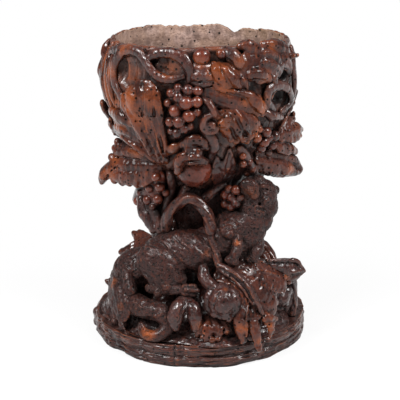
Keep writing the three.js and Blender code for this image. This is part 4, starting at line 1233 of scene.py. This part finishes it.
groundLeaves = {  # place on the mound, midrib, face, length and lobes
    "left_wing_leaf": ((-24, 3, 35.3), (-1, 0, -0.58), (-0.5, -0.4, 1), 22, slim),
    "left_spike_leaf": ((-40.5, 2, 10.4), (-1, 0.1, -0.1), (-0.4, -0.8, 0.5), 10, broad),
    "back_left_leaf": ((-15, 22, 20), (-0.5, 0.85, -0.65), (-0.3, 0.6, 1), 23, broad),
    "back_right_leaf": ((15, 22, 20), (0.5, 0.85, -0.65), (0.3, 0.6, 1), 23, broad),
}
bowlLeaves = {  # angle, level, heading, length, lift at the tip
    "side_right_leaf": (106, 0.23, 12, 27, 2),
    "back_right_bowl_leaf": (150, 0.23, 8, 32, 2),
    "back_left_bowl_leaf": (-148, 0.24, -8, 34, 2),
    "side_left_leaf": (-104, 0.29, 10, 26, 1.5),
}
frontLeaves = {
    "large_left_leaf": {
        "sheets": [
            ([(158, 158, 0.6), (149, 132, 1.6), (146, 110, 2.6), (145, 95, 2.4)], (4, 8, 9.5, 7.5)),
            ([(150, 156, 0.6), (132, 136, 1.2), (116, 118, 1)], (4, 7, 5)),
        ],
        "lobes": [
            ([(141, 120, 2), (136, 108, 3.4), (133, 98, 3.2), (132, 92, 2.2)], (2.4, 4, 4, 2.6)),
            ([(151, 121, 2), (150, 109, 3.6), (150, 98, 3.4), (150, 93, 2.4)], (2.4, 4, 4, 2.8)),
            ([(130, 118, 1.6), (126, 107, 2.4), (125, 98, 2)], (1.8, 3, 2.4)),
            ([(159, 119, 1.6), (157, 105, 2.6), (157, 94, 2)], (1.8, 2.8, 2)),
            ([(112, 112, 1.8), (120, 117, 3), (129, 123, 2.4)], (2.2, 3.4, 2)),
            ([(112, 126, 1.6), (123, 130, 2.6), (134, 137, 2.2)], (1.8, 2.6, 1.8)),
            ([(167, 153, 2), (174, 148, 3.4), (181, 147, 2.8)], (1.5, 2.6, 1.7)),
        ],
        "ribs": [
            ([(127, 102, 2.5), (130, 111, 3.6), (136, 122, 4.2), (143, 136, 4.2), (151, 153, 3)],
             (1.4, 2.1, 2.3, 2, 1.4)),
            ([(141, 113, 2.6), (146, 126, 3.8), (153, 142, 3.8), (160, 160, 2.6)], (1.3, 1.9, 1.8, 1.2)),
            ([(150, 115, 2.4), (154, 128, 3.8), (159, 144, 4), (164, 161, 2.6)], (1.3, 1.9, 1.8, 1.2)),
            ([(157, 115, 2), (161, 129, 3), (165, 145, 3.4), (167, 161, 2.2)], (1.1, 1.6, 1.6, 1.1)),
            ([(117, 131, 1.6), (128, 140, 2.8), (140, 149, 3), (154, 160, 2)], (1.2, 1.8, 1.8, 1.2)),
        ],
        "balls": [(134, 90, 3.4, 1.8), (149, 91, 3.6, 1.9), (156, 93, 2.8, 1.4), (128, 94, 2.8, 1.6)],
        "grooves": [
            ([(142, 116, 4.4), (142, 104, 6), (142, 93, 5.4), (142, 85, 4)], (0.6, 1, 1.2, 1.2)),
            ([(154, 116, 4.4), (153.5, 104, 5.8), (153.5, 92, 5.2)], (0.5, 0.7, 0.5)),
            ([(137, 113, 5.2), (143, 127, 5.4), (151, 146, 5), (157, 158, 3.6)], (0.6, 1.1, 1, 0.6)),
            ([(148, 117, 5.4), (152, 132, 5.6), (158, 150, 5), (162, 160, 3.6)], (0.6, 1.1, 1, 0.6)),
            ([(156, 119, 4.8), (158, 134, 5.2), (163, 152, 4.6)], (0.6, 1, 0.8)),
            ([(127, 112, 3.6), (133, 124, 4), (142, 140, 4), (152, 156, 3)], (0.7, 1.1, 1, 0.6)),
        ],
    },
    "centre_leaf": {
        "sheets": [([(221, 119, 2), (236, 125, 2.8), (251, 129, 2.2)], (5, 7.5, 5.5))],
        "lobes": [
            ([(222, 117, 3), (226, 121, 4.6), (224, 128, 4)], (1.6, 2.6, 1.7)),
            ([(250, 114, 2.2), (254, 122, 3.6), (257, 130, 3.2)], (1.4, 2.1, 1.5)),
        ],
        "ribs": [
            ([(233, 109, 2), (239, 116, 4.4), (244, 124, 5.2), (249, 132, 4.6)], (1.1, 1.9, 2.1, 1.5)),
            ([(228, 115, 3), (234, 123, 4.8), (238, 131, 5), (240, 138, 4)], (1.2, 1.8, 1.9, 1.4)),
            ([(223, 126, 3), (227, 132, 4.4), (230, 138, 3.8)], (1.3, 1.9, 1.4)),
        ],
        "balls": [
            (228, 118, 5, 2.3), (222, 123, 4.6, 2.1), (231, 139, 4, 1.7), (236, 141, 4.2, 1.6),
            (243, 139, 4.6, 1.9), (250, 136, 4.6, 1.9), (255, 134, 3.8, 1.5), (247, 141, 3.6, 1.4),
        ],
        "grooves": [([(231, 112, 4.4), (237, 119, 6), (242, 129, 6.6)], (0.5, 0.8, 0.6))],
    },
    "top_leaf": {
        "sheets": [([(216, 73, 1.4), (228, 78, 2.2), (241, 81, 1.6)], (4.5, 6.5, 5))],
        "lobes": [
            ([(214, 65, 2.4), (217, 71, 4), (221, 78, 4.2), (228, 86, 3.2)], (1.7, 2.7, 2.7, 1.7)),
            ([(213, 80, 2), (220, 88, 3), (231, 91, 2.4)], (1.4, 2, 1.3)),
        ],
        "ribs": [
            ([(222, 66, 2.4), (228, 72, 4.6), (234, 80, 5), (239, 87, 3.6)], (1.4, 2.3, 2.4, 1.4)),
            ([(237, 75, 2), (243, 80, 2.8), (246, 89, 2)], (1.2, 1.7, 1.2)),
        ],
        "grooves": [([(221, 70, 5.4), (226, 78, 6.4), (232, 86, 5.4)], (0.6, 0.9, 0.6))],
    },
    "upper_right_leaf": {
        "sheets": [([(246, 66, 1.6), (260, 64, 2.2), (274, 64, 1.6)], (6, 9, 7))],
        "ribs": [
            ([(255, 59, 1.6), (265, 53, 3.4), (275, 56, 3.2), (280, 63, 1.8)], (1.2, 1.9, 1.9, 1.2)),
            ([(254, 68, 1.6), (264, 62, 3.6), (274, 65, 3.4), (279, 72, 1.8)], (1.2, 2, 2, 1.2)),
            ([(243, 79, 1.6), (251, 74, 3.4), (260, 73, 4.2), (269, 79, 2.6)], (1.4, 2.4, 2.7, 1.6)),
            ([(244, 60, 1.4), (250, 66, 2.4), (252, 72, 2)], (1.2, 1.7, 1.2)),
        ],
        "lobes": [([(240, 47, 1.4), (248, 46, 2.8), (256, 50, 2.8), (259, 57, 1.6)], (1.6, 2.6, 2.4, 1.3))],
    },
    "rim_right_leaf": {
        "sheets": [([(266, 50, 1.2), (280, 54, 1.8), (289, 66, 1.2)], (4, 5.5, 4))],
        "lobes": [
            ([(262, 45, 1), (272, 44, 2.2), (283, 48, 2.6), (289, 57, 1.8)], (1.5, 2.2, 2.6, 2)),
            ([(278, 55, 1.8), (285, 58, 3), (290, 66, 2.4)], (1.6, 2.4, 1.6)),
        ],
        "ribs": [([(288, 57, 2), (293, 56, 4.4), (298, 55, 6.5)], (1.6, 1.2, 0.6))],
    },
    "slant_leaf": {
        "sheets": [([(207, 94, 1), (225, 98, 1.6), (245, 103, 2), (262, 109, 1.6)], (4, 5.5, 5.5, 4))],
        "lobes": [
            ([(210, 95, 1.2), (224, 98, 1.8), (240, 102, 2.2), (252, 107, 2)], (1.4, 2.2, 2.6, 1.6)),
            ([(249, 96, 3.2), (256, 102, 4.6), (262, 111, 3.6)], (1.7, 2.7, 1.6)),
        ],
        "ribs": [
            ([(206, 88, 1.6), (222, 89, 2.8), (238, 92, 3.6), (252, 96, 4.4), (259, 103, 4)],
             (0.8, 1, 1.2, 1.5, 1)),
            ([(212, 100, 1.6), (226, 105, 2.4), (243, 111, 2.2)], (0.9, 1.2, 0.9)),
            ([(216, 92, 2), (230, 98, 2.6), (244, 106, 2.6)], (0.6, 0.8, 0.6)),
        ],
    },
    "fruit_cap_leaf": {
        "lobes": [
            ([(178, 172, 8.8), (179, 163, 8.8), (184, 157, 8), (191, 156, 7.8)], (1.6, 2.5, 2.5, 1.8)),
            ([(180, 147, 2.4), (190, 141, 4), (200, 141, 4.4), (206, 148, 4.2)], (1.8, 2.8, 2.6, 1.6)),
            ([(186, 143, 3), (190, 150, 5.4), (189, 157, 7)], (2, 2.6, 2)),
        ],
        "ribs": [
            ([(187, 158, 8.4), (196, 157, 9), (206, 161, 7.2)], (1.4, 1.8, 1)),
            ([(190, 163.5, 9.6), (198, 162.5, 9.6), (206, 163.5, 7.6)], (0.9, 1.2, 0.8)),
        ],
        "balls": [(197, 152, 6, 2.6)],
    },
}
liftedLeaves = {  # third number: distance before the axis
    "low_left_leaf": {
        "sheets": [([(162, 165, 22), (145, 164, 18), (128, 166, 12), (112, 169, 6)], (4, 7.5, 8.5, 5.5))],
        "lobes": [
            ([(160, 160, 23), (146, 153, 20.5), (131, 149, 15.5), (117, 151, 9.5)], (2.2, 4, 4.4, 2.8)),
            ([(160, 165, 24), (143, 164, 20.5), (126, 163, 14.5), (114, 164, 10)], (2.2, 3.4, 3.8, 3)),
            ([(160, 169, 24), (146, 174, 21), (131, 178, 16), (120, 179, 11.5)], (2, 3.4, 3.6, 2.4)),
            ([(122, 163, 12.5), (112, 167, 9), (105, 173, 5.5), (103, 180, 4)], (3, 4, 4.2, 2.6)),
            ([(158, 172, 24), (148, 180, 22), (141, 184, 19)], (1.8, 2.8, 2)),
        ],
        "ribs": [
            ([(117, 176, 11), (115, 180, 10)], (2.4, 2)), ([(124, 178, 14), (122, 182, 13.3)], (2.4, 2)),
            ([(131, 179, 17), (130, 183, 16.3)], (2.4, 1.9)),
            ([(138, 180, 19.5), (137, 184, 18.8)], (2.2, 1.7)),
            ([(118, 151, 9), (115, 148, 8)], (2.4, 2)), ([(126, 149, 13), (124, 146, 12.4)], (2.4, 2)),
            ([(135, 148, 17), (133, 145, 16.4)], (2.2, 1.8)), ([(116, 160, 9.5), (112, 157, 8)], (2.4, 2)),
            ([(121, 150, 10), (117.5, 142, 8.6)], (2.4, 1.9)),
        ],
        "grooves": [
            ([(152, 169, 26.6), (138, 170, 23.2), (124, 171, 17.8)], (0.4, 0.6, 0.5)),
            ([(152, 161, 26.6), (138, 157, 22.8), (124, 156, 17.8)], (0.4, 0.6, 0.5)),
            ([(118, 166, 14.5), (111, 171, 12), (107, 178, 9)], (0.4, 0.6, 0.5)),
        ],
    },
    "right_wing_leaf": {
        "lobes": [
            ([(244, 245, 12), (254, 243, 8), (264, 246, 6), (271, 254, 7), (275, 262, 10)],
             (2.6, 3.4, 3.6, 3.2, 2)),
            ([(248, 250, 15), (258, 251, 13), (266, 258, 14), (270, 265, 17)], (3, 3.6, 3, 2)),
        ],
        "ribs": [([(257, 240, 6), (265, 243.5, 5), (271.5, 252, 6), (275.5, 261, 9)], (0.8, 1, 1, 0.8))],
        "grooves": [([(254, 246, 14), (264, 250, 12.5), (272, 261, 14.5)], (0.6, 0.9, 0.6))],
    },
    "right_leaf": {
        "sheets": [([(279, 134, 18), (288, 131, 13.5), (297, 130, 7)], (4, 6, 4))],
        "lobes": [
            ([(279, 134, 20), (288, 130, 16), (296, 128, 9.5), (301.5, 129, 5)], (2, 3.2, 3.2, 1.5)),
            ([(282, 128, 18.5), (288, 122, 14.5), (294, 118, 9.5)], (1.6, 2.4, 1.3)),
            ([(282, 138, 18.5), (291, 138, 13.5), (300, 135, 7)], (1.6, 2.6, 1.5)),
            ([(283, 144, 17), (290, 148, 12), (295, 151, 7)], (2, 3, 2)),
            ([(272, 140, 21), (279, 146, 18), (287, 151, 13.5)], (2.4, 3.4, 2.4)),
        ],
        "grooves": [([(281, 133, 23.5), (290, 129, 19), (299, 127, 13)], (0.5, 0.8, 0.6))],
    },
    "low_right_leaf": {
        "sheets": [([(258, 160, 20), (271, 162, 14.5), (284, 164, 9), (297, 168, 3)], (5, 7, 6, 3))],
        "lobes": [
            ([(257, 152, 22), (270, 152, 17), (284, 154, 11), (295, 160, 5.5), (300, 168, 2)],
             (1.8, 2.8, 3, 2.5, 1.4)),
            ([(257, 160, 23), (270, 162, 18), (284, 165, 12), (295, 170, 6.5)], (2.4, 3.6, 3.8, 2.2)),
            ([(257, 168, 22), (268, 170.5, 17.5), (278, 172.5, 12.5), (290, 172.5, 7)], (2, 3, 2.8, 1.8)),
        ],
        "ribs": [
            ([(290, 173, 7), (296, 172.5, 5), (300, 169, 2.5), (297.5, 164.5, 4.5)], (1.3, 1.7, 1.6, 1)),
        ],
        "grooves": [
            ([(264, 154, 26), (264, 165, 27), (263, 175, 25)], (0.6, 0.9, 0.6)),
            ([(272, 155, 22), (273, 166, 23), (272, 176, 20.5)], (0.6, 0.9, 0.6)),
            ([(281, 156, 17.6), (282, 167, 18), (281, 176, 15.5)], (0.6, 0.9, 0.6)),
        ],
    },
}
frontFolds = {
    "bud_folds": {
        "lobes": [
            ([(196, 66, 1.6), (202, 69, 2.8), (210, 67, 2)], (1.8, 2.7, 1.8)),
            ([(192, 78, 2.2), (198, 76, 3.8), (204, 77, 3.4)], (1.3, 2.3, 1.6)),
            ([(203, 77, 3), (208, 76, 3.8), (213, 79, 2.4)], (1.4, 2.1, 1.3)),
        ],
        "ribs": [([(193, 83, 1.8), (203, 84.5, 2.6), (213, 83, 1.8)], (1, 1.4, 1))],
        "sheets": [([(196, 72, 0.6), (203, 75, 1), (210, 75, 0.8)], (4, 5, 4))],
    },
    "round_fold": {
        "lobes": [([(226, 52, 1.6), (233, 56, 3.2), (239, 63, 3.4), (241, 69, 2)], (2, 3, 2.7, 1.5))],
        "grooves": [([(227, 59, 3), (233, 65, 3.6)], (1.2, 1))],
    },
    "curled_stem": {
        "ribs": [
            ([(203, 98, 1.6), (208, 102, 3.6), (212, 108, 4.6), (215, 114, 4.8), (219, 117, 3.8)],
             (1.2, 1.6, 1.8, 1.6, 1.1)),
            ([(218, 117, 4), (211, 115, 4.4), (205, 119, 4.4), (203, 126, 4.2), (207, 132, 4.2),
              (214, 132, 4), (218, 127, 3.8)], (1.1, 1.4, 1.5, 1.5, 1.4, 1.3, 1)),
        ],
        "balls": [(211, 125, 3, 2.6)],
        "sheets": [([(206, 110, 0.8), (210, 122, 1.2), (213, 132, 1)], (3, 4.5, 3.5))],
    },
    "right_tendril": {
        "ribs": [
            ([(293, 103, 1.6), (288, 114, 2.8), (282, 124, 2.8), (277, 132, 1.4)], (0.9, 0.9, 0.9, 0.7)),
        ],
    },
    "hole_lips": {
        "ribs": [
            ([(267, 77, 1.2), (273, 78, 2.6), (276, 87, 1.6)], (1.3, 1.9, 1.3)),
            ([(274, 68, 1.2), (281, 64, 2.4), (288, 67, 1.8)], (1.2, 1.6, 1.3)),
            ([(265, 112, 1.4), (272, 116, 2.8), (280, 117, 2.2)], (1.6, 2.3, 1.6)),
        ],
    },
    "under_folds": {
        "lobes": [
            ([(217, 184, 0.4), (217.5, 171, 0.9), (217, 160, 0.4)], (2, 3, 1.6)),
            ([(227, 182, 0.4), (228.5, 167, 0.9), (229.5, 153, 0.4)], (2, 3, 1.6)),
            ([(240, 148, 1), (246, 158, 2), (250, 168, 2.4)], (2, 2.8, 2)),
            ([(244, 160, 2), (240, 172, 1.4), (234, 184, 1.2), (229, 194, 1)], (2, 2.6, 2.6, 2)),
            ([(248, 162, 3), (253, 171, 4.5), (260, 176, 6)], (2.2, 3.2, 2.4)),
        ],
        "ribs": [
            ([(216, 187, 1.2), (212.5, 172, 2), (216, 157, 1)], (0.8, 1.1, 0.6)),
            ([(218, 187, 1.2), (222.5, 172, 2), (217, 157, 1)], (0.8, 1.1, 0.6)),
            ([(225, 185, 1.2), (223.5, 168, 2), (229, 149, 1)], (0.8, 1.1, 0.6)),
            ([(228, 185, 1.2), (234, 168, 2), (230, 149, 1)], (0.8, 1.1, 0.6)),
        ],
    },
    "foot_folds": {
        "ribs": [
            ([(198, 204, 1.8), (206, 198, 3.2), (215, 190, 3.6), (224, 185, 3.4)], (1.6, 2.1, 2.1, 1.6)),
            ([(170, 174, 1.8), (172, 188, 2.6), (168, 200, 2.2), (164, 214, 1.4)], (1.8, 2.2, 2, 1.6)),
            ([(186, 189, 2.6), (183, 198, 3.2), (178, 207, 2)], (2.2, 2.4, 1.7)),
        ],
        "lobes": [([(150, 180, 4.4), (141, 188, 7), (136, 199, 8.4)], (2.2, 3.2, 2.2))],
    },
}
hangingFold = {  # third number: distance before the axis
    "hanging_fold": {
        "lobes": [
            ([(140, 198, 15), (144, 213, 17.5), (154, 228, 21)], (2.4, 3.2, 2.6)),
            ([(150, 204, 18), (156, 216, 20), (161, 230, 23)], (2, 2.6, 2.6)),
        ],
        "sheets": [([(154, 194, 12), (159, 212, 11), (165, 234, 16)], (6, 8, 7))],
    },
}
streaks = {
    "seed": 70, "angles": (-104, -60), "count": 10, "levels": (0.97, 0.52), "ragged": (-0.05, 0.01),
    "sway": 1.2, "out": (0.3, 1.4, 2, 1.2, 0), "outs": (0.6, 1.3),
    "radii": (0.9, 1.7, 2, 1.5, 0.8), "sizes": (0.8, 1.2), "soft": 0.9,
    "bulges": ((-88, 0.86, 0.7, 2.6), (-83, 0.97, 0.84, 1.3)),  # angle, top and low level, how far out
    "bulgeOut": (0, 0.8, 1, 0), "bulgeRadii": (1.2, 2.2, 2.4, 1.2), "bulgeSoft": 1.5,
}
leafSeeds = {"ground": 60, "bowl": 80}


def makeStreaks():
    # worn vertical ridges on the bowl's left side
    chance = np.random.RandomState(streaks["seed"])
    points = len(streaks["out"])
    shapes = []
    for angle in np.linspace(*streaks["angles"], streaks["count"]):
        top, low = np.array(streaks["levels"]) + chance.uniform(*streaks["ragged"], 2)
        sway = angle + np.cumsum(chance.uniform(-streaks["sway"], streaks["sway"], points))
        out = np.array(streaks["out"]) * chance.uniform(*streaks["outs"])
        path = onBowl(sway, np.linspace(top, low, points), out)
        radii = np.array(streaks["radii"]) * chance.uniform(*streaks["sizes"])
        shapes.append(stroke(path, radii, streaks["soft"]))
    for angle, top, low, out in streaks["bulges"]:
        levels = np.linspace(top, low, len(streaks["bulgeOut"]))
        path = onBowl(angle, levels, out * np.array(streaks["bulgeOut"]))
        shapes.append(stroke(path, streaks["bulgeRadii"], streaks["bulgeSoft"]))
    carve("left_streaks", shapes, "leaf_wood", veined)


def makeLeaves():
    for k, (node, (at, midrib, face, length, lobes)) in enumerate(groundLeaves.items()):
        shapes = leafShapes(planeLay(at, midrib, face), length, lobes, 0, leafSeeds["ground"] + k)
        ahead = unit(np.array(midrib, float))
        stalk = onMound([at - blade["stalk"] * ahead, at + blade["stalkIn"] * ahead])
        shapes.append(stroke(stalk, blade["stalkRadii"]))
        carve(node, shapes, "leaf_wood", veined, voxels["leaf"])
    for k, (node, (angle, level, heading, length, lift)) in enumerate(bowlLeaves.items()):
        shapes = leafShapes(bowlLay(angle, level, heading), length, broad, lift, leafSeeds["bowl"] + k)
        carve(node, shapes, "leaf_wood", veined, voxels["leaf"])
    carveRead(frontLeaves, "leaf_wood", bowlAt, bowlFace, veined)
    carveRead(liftedLeaves, "leaf_wood", depthAt, moundFace, veined)
    carveRead(frontFolds, "vine_wood", bowlAt, bowlFace, veined)
    carveRead(hangingFold, "vine_wood", depthAt, moundFace, veined)
    makeStreaks()


makeLeaves()
print("leaves done")

# Vines on the bowl, each with a low skirt that runs into the ground
vine = {"press": 0.75, "broad": 1.05, "flat": 1.5, "soft": 0.8, "skirtSoft": 1}
frontVines = {  # pixel across, pixel down, height above the bowl, and radii
    "left_loop_vine": (
        [(122, 98, 1.2), (115, 84, 2.6), (114, 68, 3), (119, 55, 3), (129, 49.5, 3), (139, 53, 3),
         (146, 62, 3), (152, 71, 3), (160, 77.5, 3), (171, 79.5, 2.8), (183, 77, 1.6)],
        (1.9, 2.2, 2.2, 2.1, 2.1, 2, 2, 2, 2, 1.8, 1.4)),
    "rim_left_vine": (
        [(112, 51, 1.4), (124, 49, 2.2), (137, 52, 2.2), (147, 58, 2.4), (154, 54.5, 2.6), (166, 52.5, 2.8),
         (179, 56, 3), (187, 64, 3), (191, 74, 2.4), (189, 81, 1.4)],
        (2, 1.9, 1.7, 1.6, 2, 2.1, 2.3, 2.3, 2, 1.4)),
    "ring_vine": (
        [(272, 110, 1), (267, 99, 2.4), (270, 89, 2.8), (278, 85, 3), (287, 88, 2.8), (291, 97, 2.4),
         (288, 106, 2), (281, 111, 1)],
        (1.8, 2.2, 2.2, 2.1, 2, 2, 1.8, 1.6)),
    "right_edge_vine": (
        [(291, 48, 1.6), (293, 60, 2.4), (294, 75, 2.4), (294, 90, 2.4), (291, 104, 1.4)],
        (1.6, 1.8, 1.8, 1.7, 1.4)),
    "fruit_stem": (
        [(203, 128, 1.6), (207, 134, 3), (213, 140, 4), (214, 149, 4.4), (209, 158, 3.4)],
        (1.8, 2.1, 2.3, 2.2, 1.5)),
}
backVine = {
    "path": [  # angle and level
        (96, 0.86), (118, 0.74), (140, 0.87), (164, 0.76), (186, 0.89), (208, 0.74), (232, 0.87),
        (256, 0.77),
    ],
    "stand": 2.6, "endStand": 1.15, "radii": (2.4, 2.2, 2.4, 2.2),
}


def makeBowlVines():
    for node, line in frontVines.items():
        spots, radii = readLine(*line)
        path = bowlAt(spots * [1, 1, vine["press"]])
        ribbon = stroke(path, radii * vine["broad"], vine["soft"], face=bowlFace, flat=vine["flat"])
        carve(node, [ribbon, skirtUnder(spots, radii, vine["skirtSoft"])], "vine_wood", veined)
    angles, levels = np.array(backVine["path"]).T
    stand = np.full(len(angles), backVine["stand"])
    stand[[0, -1]] = backVine["endStand"]
    makePiece("back_vine", *vineTube(onBowl(angles, levels, stand), backVine["radii"]), "vine_wood")


makeBowlVines()
print("vines done")

# Fruits and grapes
fruits = {  # angle, level, standoff, radius
    "top_fruit": (1, 0.943, 2, 3.9), "small_top_fruit": (12, 0.957, 1.5, 2.4),
    "large_fruit": (-5, 0.17, 0, 8.6),
}
grape = {
    "seed": 120, "radius": 2.55, "sizes": (0.88, 1.1), "spacing": 4.4, "row": 3.7, "out": 3.1, "proud": 0.8,
    "sink": 0.35, "stray": 0.35, "soft": 0.15,
}
bunches = {  # angle, level, grapes in each row
    "side_grapes": (126, 0.6, (2, 3, 2)), "back_grapes": (186, 0.74, (3, 4, 3, 2)),
}
frontGrapes = {  # pixel across, pixel down, height above the bowl, radius
    "centre_grapes": {"balls": [
        (171, 93, 2.4, 2.1), (178, 88, 2.6, 2), (188, 90, 3.2, 2.5), (198, 91, 2.8, 2.3),
        (178, 97, 3.4, 2.5), (186, 103, 4, 3.1), (197, 102, 3.4, 2.6), (168, 103, 2, 2),
        (175, 111, 3.4, 2.8), (189, 116, 3.8, 2.9), (197, 112, 2.4, 2.2), (179, 122, 4, 2.9),
        (170, 122, 2.6, 2.3), (184, 129, 3.2, 2.2), (177, 133, 3.2, 2.4), (171, 131, 2, 1.8),
        (190, 126, 2, 2), (188, 96, 1.6, 2.2), (180, 106, 1.6, 2.4), (183, 117, 1.6, 2.4),
    ]},
    "right_grapes": {"balls": [
        (266, 132, 3.2, 2.5), (275, 136, 3, 2.4), (257, 138, 3, 2.3), (264, 142, 3.6, 2.6),
        (272, 145, 3.2, 2.5), (261, 148, 3, 2.3), (268, 152, 3, 2.2), (259, 129, 2, 2),
        (268, 138, 1.6, 2.2),
    ]},
    "small_right_grapes": {"balls": [
        (243, 164, 4.6, 1.9), (252, 169, 4.8, 2.1), (247, 173, 3.8, 1.9), (243, 156, 3.6, 1.7),
        (249, 162, 3.4, 2),
    ]},
    "low_left_grapes": {"balls": [
        (156, 177, 6.5, 2.3), (150, 188, 7.5, 2.5), (160, 187, 7, 2.5), (148, 200, 7.5, 2.5),
        (158, 199, 7.5, 2.5), (166, 193, 5.5, 2), (141, 193, 8, 2.2), (138, 201, 8.4, 2.4),
        (153, 207, 6.5, 1.9), (154, 193, 5.6, 2.6), (150, 180, 5.4, 2.2), (145, 197, 6, 2.4),
    ], "lobes": [
        ([(160, 175, 3), (157, 188, 4), (154, 203, 4.5)], (3, 4.6, 3.4)),
        ([(158, 192, 4.5), (148, 192, 6), (139, 197, 7)], (3, 3.6, 2.6)),
    ]},
    "low_right_grapes": {"balls": [
        (236, 190, 12, 2.3), (225, 195, 8, 2.3), (236, 203, 12.5, 2.5), (225, 204, 7.6, 2.1),
        (231, 207, 10, 2.1), (231, 197, 10.6, 2.3), (241, 197, 13.4, 2), (229, 189, 8, 2),
    ], "lobes": [
        ([(226, 191, 2), (231, 199, 2.5), (235, 204, 3)], (2.4, 3.2, 2.4)),
        ([(226, 190, 3), (231, 197, 7), (236, 198, 10)], (2.6, 3.2, 2.6)),
    ]},
}


def makeFruit():
    for node, (angle, level, standoff, radius) in fruits.items():
        carve(node, [ball(onBowl(angle, level, standoff), radius)], "grape_wood", tooled(depth=0.2, size=2.4))
    polished = tooled(depth=0.05, size=2)
    carveRead(frontGrapes, "grape_wood", bowlAt, bowlFace, polished)
    chance = np.random.RandomState(grape["seed"])
    for node, (angle, level, rows) in bunches.items():
        height = levelHeight(level)
        shapes = []
        for count in rows:
            for j in range(count):
                proud = grape["proud"] if 0 < j < count - 1 else 0
                radius = bowlRadius(height) + grape["out"] + proud - grape["sink"]
                sideways = (j - (count - 1) / 2) * grape["spacing"]
                spot = ringPoint(angle + np.degrees(sideways / radius), radius, height)
                size = grape["radius"] * chance.uniform(*grape["sizes"])
                stray = chance.uniform(-grape["stray"], grape["stray"], 3)
                shapes.append(ball(spot + stray, size, soft=grape["soft"]))
            slope = bowlRadius(height) - bowlRadius(height - 1)
            height = height - grape["row"] / np.hypot(1, slope)
        carve(node, shapes, "grape_wood", polished)


makeFruit()
print("fruit done")

# Studio: white floor, dim sky, two soft boxes with a smaller one before each, and the photograph's camera
studio = {
    "floor": 0.9, "floorSize": 40, "sky": 0.25,
    "glow": 0.78, "glowFrom": (0.07, 0.2),  # the floor darkens to this share near the cup
    "boxes": (  # place, width, watts
        ((-0.42, -0.32, 0.62), 0.45, 4.6), ((0.44, -0.27, 0.62), 0.4, 3.9),
        ((-0.40, -0.34, 0.58), 0.12, 2.4), ((0.42, -0.29, 0.58), 0.11, 2.1),
    ),
    "boxHeight": 1.2, "aim": (0, 0, 0.08),
}
white = (1, 1, 1, 1)


def makeFloor():
    bpy.ops.mesh.primitive_plane_add(size=studio["floorSize"])
    floor = bpy.context.object
    floor.name = "floor"
    paper = Finish(bpy.data.materials.new("paper"))
    lit = paper.node("ShaderNodeBsdfDiffuse", {}, {"Color": (studio["floor"],) * 3 + (1,)})
    glow = paper.node("ShaderNodeEmission", {}, {"Color": white, "Strength": 1.0})
    rays = [paper.node("ShaderNodeLightPath", output=kind)
            for kind in ("Is Camera Ray", "Is Glossy Ray", "Is Transmission Ray")]
    place = paper.node("ShaderNodeTexCoord", output="Object")
    away = paper.node("ShaderNodeVectorMath", {"operation": "LENGTH"}, {0: place}, "Value")
    seen = paper.within(rays[0] + rays[1] + rays[2], 0, 1) * (
        studio["glow"] + (1 - studio["glow"]) * paper.within(away, *studio["glowFrom"]))
    both = paper.node("ShaderNodeMixShader", {}, {0: seen, 1: lit, 2: glow})
    paper.node("ShaderNodeOutputMaterial", {}, {"Surface": both})
    floor.data.materials.append(paper.owner)


def makeLights():
    world = bpy.data.worlds.new("studio")
    bpy.context.scene.world = world
    sky = Finish(world)
    light = sky.node("ShaderNodeBackground", {}, {"Color": white, "Strength": studio["sky"]})
    sky.node("ShaderNodeOutputWorld", {}, {"Surface": light})
    for k, (at, size, power) in enumerate(studio["boxes"]):
        lamp = bpy.data.lights.new("softBox%d" % k, "AREA")
        lamp.shape = "RECTANGLE"
        lamp.size = size
        lamp.size_y = size * studio["boxHeight"]
        lamp.energy = power
        box = bpy.data.objects.new(lamp.name, lamp)
        box.location = at
        box.rotation_euler = (Vector(studio["aim"]) - box.location).to_track_quat("-Z", "Y").to_euler()
        bpy.context.scene.collection.objects.link(box)


def makeCamera():
    camera = bpy.data.cameras.new("camera")
    camera.sensor_width = lens["sensor"]
    camera.lens = lens["focal"] / lens["picture"] * lens["sensor"]
    eye = bpy.data.objects.new("camera", camera)
    eye.location = (0, -lens["distance"] * mm, lens["height"] * mm)
    eye.rotation_euler = (np.radians(90 - lens["pitch"]), 0, 0)
    bpy.context.scene.collection.objects.link(eye)
    bpy.context.scene.camera = eye
    bpy.context.scene.view_settings.view_transform = "Standard"


makeFloor()
makeLights()
makeCamera()
print("studio done")
